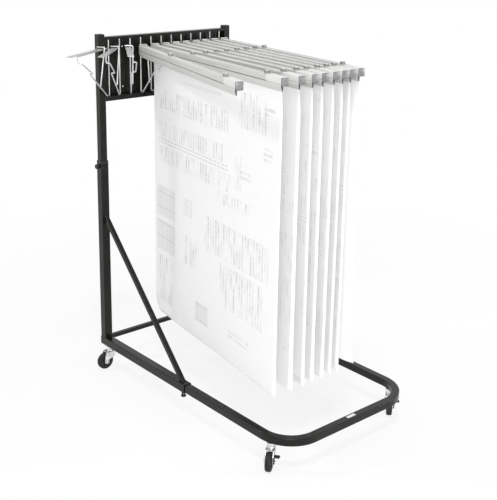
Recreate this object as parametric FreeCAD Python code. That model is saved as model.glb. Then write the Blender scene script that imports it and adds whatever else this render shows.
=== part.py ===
import FreeCAD, Part
import os
from math import atan2, degrees, hypot

os.makedirs("parts", exist_ok=True)
V = FreeCAD.Vector

# The origin lies on the floor, midway between the posts and under their rear faces.
# -Y is the rack's open front and +X its right side.
# All sizes are in millimetres and all angles in degrees.

# Frame
WIDTH = 730.0
DEPTH = 1257.0
POST_TOP = 1527.0
TUBE = 38.1
TUBE_WALL = 2.8
TUBE_CORNER = 3.5
SLIM_TUBE = 31.75
SLIM_WALL = 1.6
SLIM_CORNER = 3.0
BRACE_TUBE = 19.05
BRACE_WALL = 1.5
BRACE_CORNER = 2.0
RAIL_BOTTOM = 102.0
REAR_RAIL_LENGTH = 632.0
LOWER_POST_TOP = 966.0
UPPER_POST_OVERLAP = 270.0
FRONT_LEG_OVERLAP = 200.0
FRONT_CORNER_RADIUS = 150.0
BRACE_POST_Z = 722.0
BRACE_RAIL_Y = 600.0

# Fits
SLIDE_GAP = 0.325
REST_GAP = 0.3
RUNNING_FIT = 0.05

# Collars, plugs and caps
COLLAR_HEIGHT = 14.0
COLLAR_TAPER = 2.0
PLUG_DEPTH = 12.0
PLUG_FLANGE = 2.0
CAP_HEIGHT = 3.0

# Thumb screws
SCREW_RADIUS = 4.0
KNOB_RADIUS = 11.0
KNOB_HEIGHT = 10.0
BOSS_RADIUS = 9.0
HEIGHT_BOSS = 3.0
HEIGHT_STANDOFF = 6.0
HEIGHT_SCREW_DROP = 11.0
DEPTH_BOSS = 13.0
DEPTH_STANDOFF = 19.0
DEPTH_SCREW_SETBACK = 27.0

# Hanger panel
PANEL_TOP = 1518.0
PANEL_SHEET = 2.0
TOP_LIP = 11.5
PANEL_SHELF = 1262.0
BOTTOM_LIP = 20.0
PANEL_HOLE_RADIUS = 3.0
PANEL_HOLE_X = 222.5
PANEL_HOLE_LOW = 1294.0
PANEL_HOLE_HIGH = 1469.0

# Hangers
HANGER_COUNT = 12
HANGER_PITCH = 55.6
PIVOT_Y = -24.0
WIRE_RADIUS = 3.0
PIVOT_TAIL = 6.0
ARM_Z = 1469.0
ARM_REACH = 297.0
ARM_DROP_Z = 1441.0
ARM_DROP_REACH = 292.0
JOG_OFFSET = 15.0
JOG_LOW_REACH = 190.0
JOG_LOW_Z = 1386.0
STRUT_REACH = 97.5
STRUT_Z = 1320.0
FOOT_REACH = 21.0
HOLD_DOWN_REACH = 60.0
HOLD_DOWN_LEFT = -25.0
HOLD_DOWN_GAP = 1.5
TRAY_START = 66.0
TRAY_END = 350.0
TRAY_LEFT = -22.7
TRAY_RIGHT = 3.3
TRAY_SHEET = 2.0
WELD_SINK = 0.4

# Clamps, as sections seen along the clamp from the front
CLAMP_LEFT = -25.2
CLAMP_SIZE = 31.0
CLAMP_WALL = 2.0
CLAMP_START = 52.0
CLAMP_LENGTH = 1025.0
LIP_DROP = 18.0
LIP_ROOT = 7.2
LIP_TIP_LEFT = 4.6
LIP_TIP_RIGHT = 6.4
JAW_WALL = 2.0
JAW_LEFT = 10.0
JAW_WEB = 10.0
JAW_TOP = 14.5
JAW_DROP = 9.0
JAW_INSET = 12.0
END_CAP = 2.0
CLAMP_SCREW_RADIUS = 2.5
CLAMP_SCREW_SPARE = 5.0
CLAMP_KNOB_RADIUS = 10.0
CLAMP_KNOB_HEIGHT = 11.0
CLAMP_KNOB_SHARES = [0.344, 0.886]

# Sheets
SHEET_LEFT = 7.6
SHEET_THICKNESS = 2.1
SHEET_START = 64.0
SHEET_WIDTH = 1007.0
SHEET_BOTTOM = 239.0
SHEET_GRIP = 12.0

# How far each hanger is swung to the left, from the left post to the right
SWING = [57.5, 44.0, 32.0, 16.3, 9.25, 7.95, 7.45, 7.65, 7.55, 7.95, 8.65, 9.05]
FIRST_CLAMP = 4
FIRST_SHEET = 5

# Casters
WHEEL_RADIUS = 38.1
WHEEL_WIDTH = 24.0
TREAD_ROUND = 5.0
HUB_RADIUS = 22.0
HUB_RECESS = 3.0
TRAIL = 33.0
AXLE_RADIUS = 4.0
FORK_GAP = 27.0
FORK_SHEET = 3.0
FORK_FRONT = 14.0
FORK_BACK = 24.0
FORK_EYE = 9.0
FORK_TOP = 84.0
CUP_RADIUS = 18.0
CUP_TOP = 92.0
KINGPIN_RADIUS = 5.0
KINGPIN_HEAD_RADIUS = 8.0
KINGPIN_HEAD = 3.5
STEM_RADIUS = 6.0
STEM_HEIGHT = 12.0
STEM_NUT_RADIUS = 9.0
STEM_NUT = 6.0
NUT_RADIUS = 7.0
NUT_HEIGHT = 5.0
REAR_CASTER_Y = 52.0
FRONT_CASTER_SETBACK = 112.0
CASTER_TURN = {"rear_left": 90.0, "rear_right": 74.0, "front_left": 54.0, "front_right": 48.0}

# Brake pedals
PEDAL_SHEET = 3.0
PEDAL_HUB_RADIUS = 9.0
PEDAL_RISE = 24.0
PEDAL_REACH = 24.0
PEDAL_WIDTH = 20.0

# Derived places
POST_X = WIDTH / 2 - TUBE / 2
POST_Y = -TUBE / 2
RAIL_TOP = RAIL_BOTTOM + TUBE
RAIL_MID = RAIL_BOTTOM + TUBE / 2
SLIM_HALF = SLIM_TUBE / 2
SLIM_FRONT = POST_Y - SLIM_HALF
SLIM_REAR = POST_Y + SLIM_HALF
CORNER_MID = FRONT_CORNER_RADIUS - SLIM_HALF
CORNER_Y = -(DEPTH - FRONT_CORNER_RADIUS)
CORNER_X = POST_X - CORNER_MID
PANEL_HALF = POST_X - SLIM_HALF
FIRST_PIVOT_X = -HANGER_PITCH * (HANGER_COUNT - 1) / 2
CLAMP_TOP = ARM_Z + WIRE_RADIUS - WELD_SINK + TRAY_SHEET + REST_GAP + CLAMP_WALL
CLAMP_BOTTOM = CLAMP_TOP - CLAMP_SIZE
HOLD_DOWN_Z = CLAMP_TOP + REST_GAP + WIRE_RADIUS
HOLD_DOWN_RIGHT = CLAMP_LEFT + CLAMP_SIZE + HOLD_DOWN_GAP + WIRE_RADIUS
FOOT_Z = PANEL_SHELF + REST_GAP + WIRE_RADIUS
CLAMP_KNOB_REACH = [CLAMP_START + share * CLAMP_LENGTH for share in CLAMP_KNOB_SHARES]
FORK_HALF = FORK_GAP / 2 + FORK_SHEET
FRONT_CASTER_Y = DEPTH - FRONT_CASTER_SETBACK


def square_bar(size, corner, length):
    """Solid square bar up the Z axis with its long edges rounded."""
    bar = Part.makeBox(size, size, length, V(-size / 2, -size / 2, 0))
    if corner <= 0:
        return bar
    long_edges = [e for e in bar.Edges if abs(e.Vertexes[0].Z - e.Vertexes[1].Z) > length / 2]
    return bar.makeFillet(corner, long_edges)


def square_tube(size, wall, corner, length):
    """Square tube up the Z axis with rounded long edges."""
    bore = square_bar(size - 2 * wall, max(corner - wall, 0.4), length + 2)
    bore.translate(V(0, 0, -1))
    return square_bar(size, corner, length).cut(bore)


def laid_back(shape):
    """A shape built up the Z axis, turned to run from y = 0 towards -Y."""
    turned = shape.copy()
    turned.rotate(V(0, 0, 0), V(1, 0, 0), 90)
    return turned


def laid_across(shape):
    """A shape built up the Z axis, turned to run from x = 0 towards +X."""
    turned = shape.copy()
    turned.rotate(V(0, 0, 0), V(0, 1, 0), 90)
    return turned


def moved(shape, x, y, z):
    """A copy of a shape, carried by x, y, z."""
    copy = shape.copy()
    copy.translate(V(x, y, z))
    return copy


def mirrored(shape):
    """The same piece for the other side of the rack."""
    return shape.mirror(V(0, 0, 0), V(1, 0, 0))


def swung(shape, angle, x, y):
    """A copy turned to the left about the Z axis, then carried to x, y."""
    copy = shape.copy()
    copy.rotate(V(0, 0, 0), V(0, 0, 1), -angle)
    copy.translate(V(x, y, 0))
    return copy


def rod(start, end, radius):
    """A round rod between two points."""
    way = end.sub(start)
    return Part.makeCylinder(radius, way.Length, start, way)


def bent_wire(points, radius):
    """A round wire along a line of points, with a round elbow at each bend."""
    pieces = [rod(points[i], points[i + 1], radius) for i in range(len(points) - 1)]
    for point in points[1:-1]:
        pieces.append(Part.makeSphere(radius, point))
    return pieces


def fused(pieces):
    """One solid from several that meet."""
    whole = pieces[0].multiFuse(pieces[1:])
    return whole.removeSplitter()


def section(points, start, length):
    """A profile of x, z points, extruded from y = -start towards -Y."""
    outline = Part.makePolygon([V(x, -start, z) for x, z in points + points[:1]])
    return Part.Face(outline).extrude(V(0, -length, 0))


def lower_post():
    """Left lower post, with the thumb screw's boss on its outer wall and bored through both."""
    post = square_tube(TUBE, TUBE_WALL, TUBE_CORNER, LOWER_POST_TOP - RAIL_TOP)
    post = moved(post, -POST_X, POST_Y, RAIL_TOP)
    z = LOWER_POST_TOP - HEIGHT_SCREW_DROP
    outer = -WIDTH / 2
    boss = rod(V(outer + TUBE_WALL / 2, POST_Y, z), V(outer - HEIGHT_BOSS, POST_Y, z), BOSS_RADIUS)
    hole = rod(V(-POST_X, POST_Y, z), V(outer - 2 * HEIGHT_BOSS, POST_Y, z), SCREW_RADIUS + RUNNING_FIT)
    return fused([post, boss]).cut(hole)


def rear_rail():
    """Left rear side rail with the thumb screw's boss under it, bored for the screw and the caster stem."""
    rail = laid_back(square_tube(TUBE, TUBE_WALL, TUBE_CORNER, REAR_RAIL_LENGTH))
    rail = moved(rail, -POST_X, 0, RAIL_MID)
    stem_hole = rod(V(-POST_X, -REAR_CASTER_Y, RAIL_BOTTOM - 5), V(-POST_X, -REAR_CASTER_Y, RAIL_MID), STEM_RADIUS)
    screw_y = -(REAR_RAIL_LENGTH - DEPTH_SCREW_SETBACK)
    boss_low = V(-POST_X, screw_y, RAIL_BOTTOM - DEPTH_BOSS)
    boss = rod(boss_low, V(-POST_X, screw_y, RAIL_BOTTOM + TUBE_WALL / 2), BOSS_RADIUS)
    screw_hole = rod(boss_low.sub(V(0, 0, 1)), V(-POST_X, screw_y, RAIL_MID), SCREW_RADIUS + RUNNING_FIT)
    return fused([rail, boss]).cut(stem_hole).cut(screw_hole)


def rear_cross_bar():
    """Cross bar between the two rear rails, under the posts."""
    half = WIDTH / 2 - TUBE
    bar = laid_across(square_tube(BRACE_TUBE, BRACE_WALL, BRACE_CORNER, 2 * half))
    return moved(bar, -half, SLIM_REAR - BRACE_TUBE / 2, RAIL_TOP - BRACE_TUBE / 2)


def brace():
    """Left diagonal brace, cut to the post's front face and the rail's top face."""
    high = V(-POST_X, -TUBE, BRACE_POST_Z)
    low = V(-POST_X, -BRACE_RAIL_Y, RAIL_TOP)
    way = low.sub(high)
    spare = 3 * BRACE_TUBE
    tube = square_tube(BRACE_TUBE, BRACE_WALL, BRACE_CORNER, way.Length + 2 * spare)
    tube.translate(V(0, 0, -spare))
    lean = degrees(atan2(hypot(way.x, way.y), -way.z))
    tube.rotate(V(0, 0, 0), V(1, 0, 0), 180 - lean)
    tube.translate(high)
    keep = Part.makeBox(
        2 * TUBE, BRACE_RAIL_Y + 4 * BRACE_TUBE, BRACE_POST_Z, V(-POST_X - TUBE, -BRACE_RAIL_Y - TUBE * 3, RAIL_TOP)
    )
    behind = Part.makeBox(2 * TUBE, TUBE * 3, BRACE_POST_Z * 2, V(-POST_X - TUBE, -TUBE, 0))
    return tube.common(keep).cut(behind)


def post_collar():
    """Left tapered collar on top of the lower post, round the upper one."""
    block = square_bar(TUBE, TUBE_CORNER, COLLAR_HEIGHT)
    top_edges = [e for e in block.Edges if min(v.Z for v in e.Vertexes) > COLLAR_HEIGHT - 0.01]
    block = block.makeChamfer(COLLAR_TAPER, top_edges)
    bore = square_bar(SLIM_TUBE + 2 * SLIDE_GAP, SLIM_CORNER - 1, COLLAR_HEIGHT + 2)
    bore.translate(V(0, 0, -1))
    return moved(block.cut(bore), -POST_X, POST_Y, LOWER_POST_TOP)


def rail_plug():
    """Left plug in the rear end of the side rail."""
    body = laid_back(square_bar(TUBE - 2 * TUBE_WALL, TUBE_CORNER - TUBE_WALL, PLUG_DEPTH))
    flange = laid_back(square_bar(TUBE, TUBE_CORNER, PLUG_FLANGE))
    flange.translate(V(0, PLUG_FLANGE, 0))
    return moved(fused([body, flange]), -POST_X, 0, RAIL_MID)


def front_tube(size, corner, tail):
    """The front frame's U as one square bar of the given size."""
    rear = -(REAR_RAIL_LENGTH - FRONT_LEG_OVERLAP) + tail
    leg = laid_back(square_bar(size, corner, rear - CORNER_Y))
    leg = moved(leg, -POST_X, rear, RAIL_MID)
    profile = [f for f in leg.Faces if abs(f.CenterOfMass.y - CORNER_Y) < 0.01][0]
    bend = profile.revolve(V(-CORNER_X, CORNER_Y, RAIL_MID), V(0, 0, 1), 90)
    bar = laid_across(square_bar(size, corner, 2 * CORNER_X))
    bar = moved(bar, -CORNER_X, CORNER_Y - CORNER_MID, RAIL_MID)
    return fused([leg, bend, bar, mirrored(bend), mirrored(leg)])


def caster_x(y):
    """Distance of the front tube's middle from the centre line at depth y."""
    step = -y + CORNER_Y
    return CORNER_X + (CORNER_MID**2 - step**2) ** 0.5


def front_frame():
    """Front frame: one tube bent to a U, open at both rear ends."""
    outside = front_tube(SLIM_TUBE, SLIM_CORNER, 0)
    inside = front_tube(SLIM_TUBE - 2 * SLIM_WALL, SLIM_CORNER - SLIM_WALL, 2)
    tube = outside.cut(inside)
    x = caster_x(-FRONT_CASTER_Y)
    for side in (-1, 1):
        low = V(side * x, -FRONT_CASTER_Y, RAIL_BOTTOM - 5)
        high = V(side * x, -FRONT_CASTER_Y, RAIL_MID)
        tube = tube.cut(rod(low, high, STEM_RADIUS))
    return tube


def upper_post():
    """Left upper post, which slides in the lower one."""
    bottom = LOWER_POST_TOP - UPPER_POST_OVERLAP
    post = square_tube(SLIM_TUBE, SLIM_WALL, SLIM_CORNER, POST_TOP - bottom)
    return moved(post, -POST_X, POST_Y, bottom)


def post_cap():
    """Left cap on top of the upper post."""
    cap = square_bar(SLIM_TUBE, SLIM_CORNER, CAP_HEIGHT)
    top_edges = [e for e in cap.Edges if min(v.Z for v in e.Vertexes) > CAP_HEIGHT - 0.01]
    cap = cap.makeChamfer(CAP_HEIGHT / 3, top_edges)
    body = square_bar(SLIM_TUBE - 2 * SLIM_WALL, SLIM_CORNER - SLIM_WALL, PLUG_DEPTH)
    body.translate(V(0, 0, -PLUG_DEPTH))
    return moved(fused([cap, body]), -POST_X, POST_Y, POST_TOP)


def hanger_panel():
    """Folded sheet between the upper posts that carries the pivots."""
    front = SLIM_FRONT
    back = SLIM_REAR
    sheet = PANEL_SHEET
    outline = [
        (front, PANEL_SHELF - BOTTOM_LIP),
        (front, PANEL_SHELF),
        (back - sheet, PANEL_SHELF),
        (back - sheet, PANEL_TOP - sheet),
        (front + sheet, PANEL_TOP - sheet),
        (front + sheet, PANEL_TOP - TOP_LIP),
        (front, PANEL_TOP - TOP_LIP),
        (front, PANEL_TOP),
        (back, PANEL_TOP),
        (back, PANEL_SHELF - sheet),
        (front + sheet, PANEL_SHELF - sheet),
        (front + sheet, PANEL_SHELF - BOTTOM_LIP),
    ]
    wire = Part.makePolygon([V(-PANEL_HALF, y, z) for y, z in outline + outline[:1]])
    panel = Part.Face(wire).extrude(V(2 * PANEL_HALF, 0, 0))
    holes = []
    for i in range(HANGER_COUNT):
        x = FIRST_PIVOT_X + i * HANGER_PITCH
        radius = WIRE_RADIUS + RUNNING_FIT
        holes.append(rod(V(x, PIVOT_Y, PANEL_SHELF - 5), V(x, PIVOT_Y, PANEL_SHELF + 5), radius))
        holes.append(rod(V(x, PIVOT_Y, PANEL_TOP - 5), V(x, PIVOT_Y, PANEL_TOP + 5), radius))
    for x in (-PANEL_HOLE_X, PANEL_HOLE_X):
        for z in (PANEL_HOLE_LOW, PANEL_HOLE_HIGH):
            holes.append(rod(V(x, back - 3 * sheet, z), V(x, back + 3 * sheet, z), PANEL_HOLE_RADIUS))
    return panel.cut(Part.makeCompound(holes))


def thumb_screw(reach):
    """Thumb screw along +Z: its tip at z = 0 and its knob below, past the wall."""
    shank = rod(V(0, 0, 0), V(0, 0, -reach - KNOB_HEIGHT / 2), SCREW_RADIUS)
    knob = Part.makeCylinder(KNOB_RADIUS, KNOB_HEIGHT, V(0, 0, -reach - KNOB_HEIGHT))
    knob = knob.makeFillet(KNOB_HEIGHT / 6, [e for e in knob.Edges if e.Closed])
    return fused([shank, knob])


def height_knob():
    """Left thumb screw that holds the upper post."""
    tip_x = -POST_X - SLIM_HALF - REST_GAP
    reach = WIDTH / 2 + tip_x + HEIGHT_STANDOFF
    screw = thumb_screw(reach)
    screw.rotate(V(0, 0, 0), V(0, 1, 0), 90)
    return moved(screw, tip_x, POST_Y, LOWER_POST_TOP - HEIGHT_SCREW_DROP)


def depth_knob():
    """Left thumb screw that holds the front frame's leg."""
    tip_z = RAIL_MID - SLIM_HALF - REST_GAP
    reach = tip_z - RAIL_BOTTOM + DEPTH_STANDOFF
    y = -(REAR_RAIL_LENGTH - DEPTH_SCREW_SETBACK)
    return moved(thumb_screw(reach), -POST_X, y, tip_z)


def hanger():
    """Pivot hanger with its tray, pointing to the front from a pivot at x = y = 0."""
    r = WIRE_RADIUS
    pivot = rod(V(0, 0, PANEL_SHELF - PANEL_SHEET - PIVOT_TAIL), V(0, 0, PANEL_TOP - REST_GAP), r)
    loop = [
        V(0, 0, ARM_Z),
        V(0, -ARM_REACH, ARM_Z),
        V(0, -ARM_DROP_REACH, ARM_DROP_Z),
        V(JOG_OFFSET, -ARM_DROP_REACH, ARM_DROP_Z),
        V(JOG_OFFSET, -JOG_LOW_REACH, JOG_LOW_Z),
        V(0, -JOG_LOW_REACH, JOG_LOW_Z),
        V(0, -FOOT_REACH, FOOT_Z),
        V(0, 0, FOOT_Z),
    ]
    hold_down = [
        V(HOLD_DOWN_LEFT, -HOLD_DOWN_REACH, HOLD_DOWN_Z),
        V(HOLD_DOWN_RIGHT, -HOLD_DOWN_REACH, HOLD_DOWN_Z),
        V(2 * r - WELD_SINK, -STRUT_REACH, STRUT_Z),
    ]
    tray_z = ARM_Z + r - WELD_SINK
    tray = Part.makeBox(
        TRAY_RIGHT - TRAY_LEFT, TRAY_END - TRAY_START, TRAY_SHEET, V(TRAY_LEFT, -TRAY_END, tray_z)
    )
    pieces = [pivot] + bent_wire(loop, r) + bent_wire(hold_down, r) + [tray]
    pieces.append(Part.makeSphere(r, hold_down[0]))
    pieces.append(Part.makeSphere(r, hold_down[-1]))
    return fused(pieces)


def clamp():
    """Sheet clamp on the same axes as its hanger: its shell (channel and cap), jaw and thumb screws."""
    left = CLAMP_LEFT
    right = left + CLAMP_SIZE
    top = CLAMP_TOP
    bottom = CLAMP_BOTTOM
    wall = CLAMP_WALL
    outline = [
        (left, top),
        (right, top),
        (right, bottom),
        (right - wall, bottom),
        (right - wall, top - wall),
        (left + wall, top - wall),
        (left + wall, bottom + 2 * wall),
        (left + LIP_ROOT, bottom + 2 * wall),
        (left + LIP_ROOT, bottom),
        (left + LIP_TIP_RIGHT, bottom - LIP_DROP),
        (left + LIP_TIP_LEFT, bottom - LIP_DROP),
        (left, bottom - wall),
    ]
    channel = section(outline, CLAMP_START, CLAMP_LENGTH)
    blade = left + JAW_LEFT
    web = bottom + JAW_TOP
    jaw_outline = [
        (blade, bottom - JAW_DROP),
        (blade + JAW_WALL, bottom - JAW_DROP),
        (blade + JAW_WALL, web),
        (blade + JAW_WEB, web),
        (blade + JAW_WEB, web + JAW_WALL),
        (blade, web + JAW_WALL),
    ]
    jaw = section(jaw_outline, CLAMP_START + JAW_INSET, CLAMP_LENGTH - 2 * JAW_INSET)
    cap_outline = [(left, top), (right, top), (right, bottom), (left + LIP_ROOT, bottom)]
    cap_outline += [(left + LIP_TIP_RIGHT, bottom - LIP_DROP), (left + LIP_TIP_LEFT, bottom - LIP_DROP)]
    cap_outline += [(left, bottom - wall)]
    cap = section(cap_outline, CLAMP_START + CLAMP_LENGTH, END_CAP)
    screws = []
    mid = blade + JAW_WEB / 2 + JAW_WALL / 2
    for reach in CLAMP_KNOB_REACH:
        low = V(mid, -reach, web - CLAMP_SCREW_SPARE)
        high = V(mid, -reach, top + CLAMP_KNOB_HEIGHT / 2)
        shank = rod(low, high, CLAMP_SCREW_RADIUS)
        bore = rod(low, high, CLAMP_SCREW_RADIUS + RUNNING_FIT)
        knob = Part.makeCylinder(CLAMP_KNOB_RADIUS, CLAMP_KNOB_HEIGHT, V(mid, -reach, top + REST_GAP))
        knob = knob.makeFillet(CLAMP_KNOB_HEIGHT / 6, [e for e in knob.Edges if e.Closed])
        channel = channel.cut(bore)
        jaw = jaw.cut(bore)
        screws.append(fused([shank, knob]))
    return [channel, cap], jaw, screws


def sheet_set():
    """Set of sheets held by one clamp, on the same axes as its hanger."""
    top = CLAMP_BOTTOM + SHEET_GRIP
    corner = V(CLAMP_LEFT + SHEET_LEFT, -SHEET_START - SHEET_WIDTH, SHEET_BOTTOM)
    return Part.makeBox(SHEET_THICKNESS, SHEET_WIDTH, top - SHEET_BOTTOM, corner)


def caster_stem(tube_bottom, wall):
    """Fixed half of a caster: stem and nut in the tube, upper cup, kingpin and its head."""
    cup_bottom = CUP_TOP + REST_GAP
    head_top = FORK_TOP - FORK_SHEET - REST_GAP
    pieces = [
        Part.makeCylinder(CUP_RADIUS, tube_bottom - cup_bottom, V(0, 0, cup_bottom)),
        Part.makeCylinder(STEM_RADIUS, STEM_HEIGHT, V(0, 0, tube_bottom)),
        Part.makeCylinder(STEM_NUT_RADIUS, STEM_NUT, V(0, 0, tube_bottom + wall)),
        Part.makeCylinder(KINGPIN_RADIUS, cup_bottom - head_top, V(0, 0, head_top)),
        Part.makeCylinder(KINGPIN_HEAD_RADIUS, KINGPIN_HEAD, V(0, 0, head_top - KINGPIN_HEAD)),
    ]
    return fused(pieces)


def caster_fork():
    """Swivelling half of a caster, its wheel trailing towards -Y, with the axle."""
    legs = []
    for x in (-FORK_HALF, FORK_HALF - FORK_SHEET):
        outline = [
            V(x, FORK_FRONT, FORK_TOP),
            V(x, -FORK_BACK, FORK_TOP),
            V(x, -TRAIL - FORK_EYE, WHEEL_RADIUS),
            V(x, -TRAIL + FORK_EYE, WHEEL_RADIUS),
        ]
        legs.append(Part.Face(Part.makePolygon(outline + outline[:1])).extrude(V(FORK_SHEET, 0, 0)))
        legs.append(Part.makeCylinder(FORK_EYE, FORK_SHEET, V(x, -TRAIL, WHEEL_RADIUS), V(1, 0, 0)))
    bridge = Part.makeBox(
        2 * FORK_HALF, FORK_FRONT + FORK_BACK, FORK_SHEET, V(-FORK_HALF, -FORK_BACK, FORK_TOP - FORK_SHEET)
    )
    cup = Part.makeCylinder(CUP_RADIUS, CUP_TOP - FORK_TOP, V(0, 0, FORK_TOP))
    reach = FORK_HALF + NUT_HEIGHT + PEDAL_SHEET + 2 * REST_GAP
    axle = rod(V(-FORK_HALF - NUT_HEIGHT / 2, -TRAIL, WHEEL_RADIUS), V(reach, -TRAIL, WHEEL_RADIUS), AXLE_RADIUS)
    nuts = []
    for x in (-FORK_HALF - NUT_HEIGHT, FORK_HALF + PEDAL_SHEET + 2 * REST_GAP):
        nuts.append(Part.makeCylinder(NUT_RADIUS, NUT_HEIGHT, V(x, -TRAIL, WHEEL_RADIUS), V(1, 0, 0)))
    fork = fused(legs + [bridge, cup, axle] + nuts)
    bore = Part.makeCylinder(KINGPIN_RADIUS + RUNNING_FIT, CUP_TOP, V(0, 0, FORK_TOP - 2 * FORK_SHEET))
    return fork.cut(bore)


def caster_wheel():
    """Wheel under a caster fork, bored for its axle."""
    half = WHEEL_WIDTH / 2
    centre = V(-half, -TRAIL, WHEEL_RADIUS)
    along = V(1, 0, 0)
    wheel = Part.makeCylinder(WHEEL_RADIUS, WHEEL_WIDTH, centre, along)
    wheel = wheel.makeFillet(TREAD_ROUND, [e for e in wheel.Edges if e.Closed])
    for x in (-half, half - HUB_RECESS):
        ring = Part.makeCylinder(HUB_RADIUS + HUB_RECESS, HUB_RECESS, V(x, -TRAIL, WHEEL_RADIUS), along)
        boss = Part.makeCylinder(HUB_RADIUS / 2, HUB_RECESS, V(x, -TRAIL, WHEEL_RADIUS), along)
        wheel = wheel.cut(ring.cut(boss))
    bore = Part.makeCylinder(AXLE_RADIUS + RUNNING_FIT, WHEEL_WIDTH + 2, V(-half - 1, -TRAIL, WHEEL_RADIUS), along)
    return wheel.cut(bore)


def brake_pedal():
    """Side brake lever of a front caster, turning on the axle."""
    x = FORK_HALF + REST_GAP
    eye = V(x, -TRAIL, WHEEL_RADIUS)
    hub = Part.makeCylinder(PEDAL_HUB_RADIUS, PEDAL_SHEET, eye, V(1, 0, 0))
    half = PEDAL_HUB_RADIUS * 0.8
    arm = Part.makeBox(PEDAL_SHEET, 2 * half, PEDAL_RISE, V(x, -TRAIL - half, WHEEL_RADIUS))
    pad = Part.makeBox(
        PEDAL_REACH, PEDAL_WIDTH, PEDAL_SHEET, V(x, -TRAIL - PEDAL_WIDTH / 2, WHEEL_RADIUS + PEDAL_RISE)
    )
    pad = pad.makeFillet(PEDAL_SHEET * 0.8, [e for e in pad.Edges if abs(e.Vertexes[0].Z - e.Vertexes[1].Z) > 1])
    pedal = fused([hub, arm, pad])
    return pedal.cut(rod(eye.sub(V(1, 0, 0)), eye.add(V(PEDAL_SHEET + 1, 0, 0)), AXLE_RADIUS + RUNNING_FIT))


parts = {}

for name, build in (
    ("lower_post", lower_post),
    ("rear_rail", rear_rail),
    ("upper_post", upper_post),
    ("height_knob", height_knob),
    ("depth_knob", depth_knob),
):
    piece = build()
    parts[name + "_left"] = piece
    parts[name + "_right"] = mirrored(piece)

for name, builds in (
    ("braces", [brace]),
    ("post_collars_and_rail_plugs", [post_collar, rail_plug]),
    ("post_caps", [post_cap]),
):
    pieces = [build() for build in builds]
    parts[name] = Part.makeCompound(pieces + [mirrored(piece) for piece in pieces])

parts["rear_cross_bar"] = rear_cross_bar()
parts["front_frame"] = front_frame()
parts["hanger_panel"] = hanger_panel()

one_hanger = hanger()
clamp_shell, clamp_jaw, clamp_screws = clamp()
one_set = sheet_set()
for i in range(HANGER_COUNT):
    place = (SWING[i], FIRST_PIVOT_X + i * HANGER_PITCH, PIVOT_Y)
    number = i + 1
    parts["hanger_%02d" % number] = swung(one_hanger, *place)
    if FIRST_CLAMP <= number < FIRST_SHEET:
        clamp_name = "clamp_%02d" % (number - FIRST_CLAMP + 1)
        parts[clamp_name] = swung(Part.makeCompound(clamp_shell), *place)
        parts[clamp_name + "_jaw"] = swung(clamp_jaw, *place)
        parts[clamp_name + "_screw_rear"] = swung(clamp_screws[0], *place)
        parts[clamp_name + "_screw_front"] = swung(clamp_screws[1], *place)
    if number >= FIRST_SHEET:
        whole_clamp = Part.makeCompound(clamp_shell + [clamp_jaw] + clamp_screws)
        parts["clamp_%02d" % (number - FIRST_CLAMP + 1)] = swung(whole_clamp, *place)
        parts["sheets_%02d" % (number - FIRST_SHEET + 1)] = swung(one_set, *place)

one_fork = caster_fork()
one_wheel = caster_wheel()
one_pedal = brake_pedal()
front_bottom = RAIL_MID - SLIM_HALF
stems = {"rear": caster_stem(RAIL_BOTTOM, TUBE_WALL), "front": caster_stem(front_bottom, SLIM_WALL)}
caster_places = {
    "rear": (POST_X, -REAR_CASTER_Y),
    "front": (caster_x(-FRONT_CASTER_Y), -FRONT_CASTER_Y),
}
for end, (x, y) in caster_places.items():
    parts[end + "_caster_stems"] = Part.makeCompound([moved(stems[end], -x, y, 0), moved(stems[end], x, y, 0)])
    for side, place_x in (("left", -x), ("right", x)):
        corner = end + "_" + side
        turn = CASTER_TURN[corner]
        parts["fork_" + corner] = swung(one_fork, turn, place_x, y)
        parts["wheel_" + corner] = swung(one_wheel, turn, place_x, y)
        if end == "front":
            parts["pedal_" + side] = swung(one_pedal, turn, place_x, y)

for name, shape in parts.items():
    shape.exportStep("parts/" + name + ".step")
    print(name, len(shape.Solids), shape.isValid(), round(shape.Volume / 1000, 2))
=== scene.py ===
"""Looks of a plan hanging rack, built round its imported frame.

Sizes in the classes are millimetres in the rack's own axes: X to the right, Y to the back
and Z up, from a point on the floor midway between the posts. A hanger, its clamp and its
sheets are drawn pointing straight to the front from a pivot at x = y = 0, and a caster with
its wheel trailing to the front, and each is then turned and carried to its place.
"""

import logging
import math
from collections.abc import Callable, Sequence
from dataclasses import dataclass, field
from enum import Enum
from typing import Any

import bmesh
import bpy
from mathutils import Matrix, Vector


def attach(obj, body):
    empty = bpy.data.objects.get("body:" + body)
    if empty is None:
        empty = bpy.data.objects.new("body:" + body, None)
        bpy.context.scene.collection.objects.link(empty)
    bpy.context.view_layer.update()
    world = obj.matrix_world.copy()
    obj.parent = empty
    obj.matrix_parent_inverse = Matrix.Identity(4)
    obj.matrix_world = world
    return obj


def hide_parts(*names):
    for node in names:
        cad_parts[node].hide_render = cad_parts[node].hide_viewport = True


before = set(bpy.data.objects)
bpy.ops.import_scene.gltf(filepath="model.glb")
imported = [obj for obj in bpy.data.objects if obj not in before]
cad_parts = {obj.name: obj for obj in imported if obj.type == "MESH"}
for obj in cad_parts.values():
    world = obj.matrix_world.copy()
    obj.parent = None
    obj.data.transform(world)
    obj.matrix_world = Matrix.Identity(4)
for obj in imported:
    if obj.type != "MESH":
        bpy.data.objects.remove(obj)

LOG = logging.getLogger("plan_rack")
MM = 0.001
SHARP = 35.0
WHITE = (1.0, 1.0, 1.0, 1.0)

Flat = tuple[float, float]
Triple = tuple[float, float, float]
Pattern = tuple[float, float, float, float]
Run = Sequence[Triple]
Section = tuple[Flat, ...]
Leg = tuple[float, int]
Lift = Callable[[float, float, float], Vector]
Socket = bpy.types.NodeSocket
Material = bpy.types.Material
Mesh = bpy.types.Mesh


# ---------------------------------------------------------------- outlines and meshes


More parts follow.
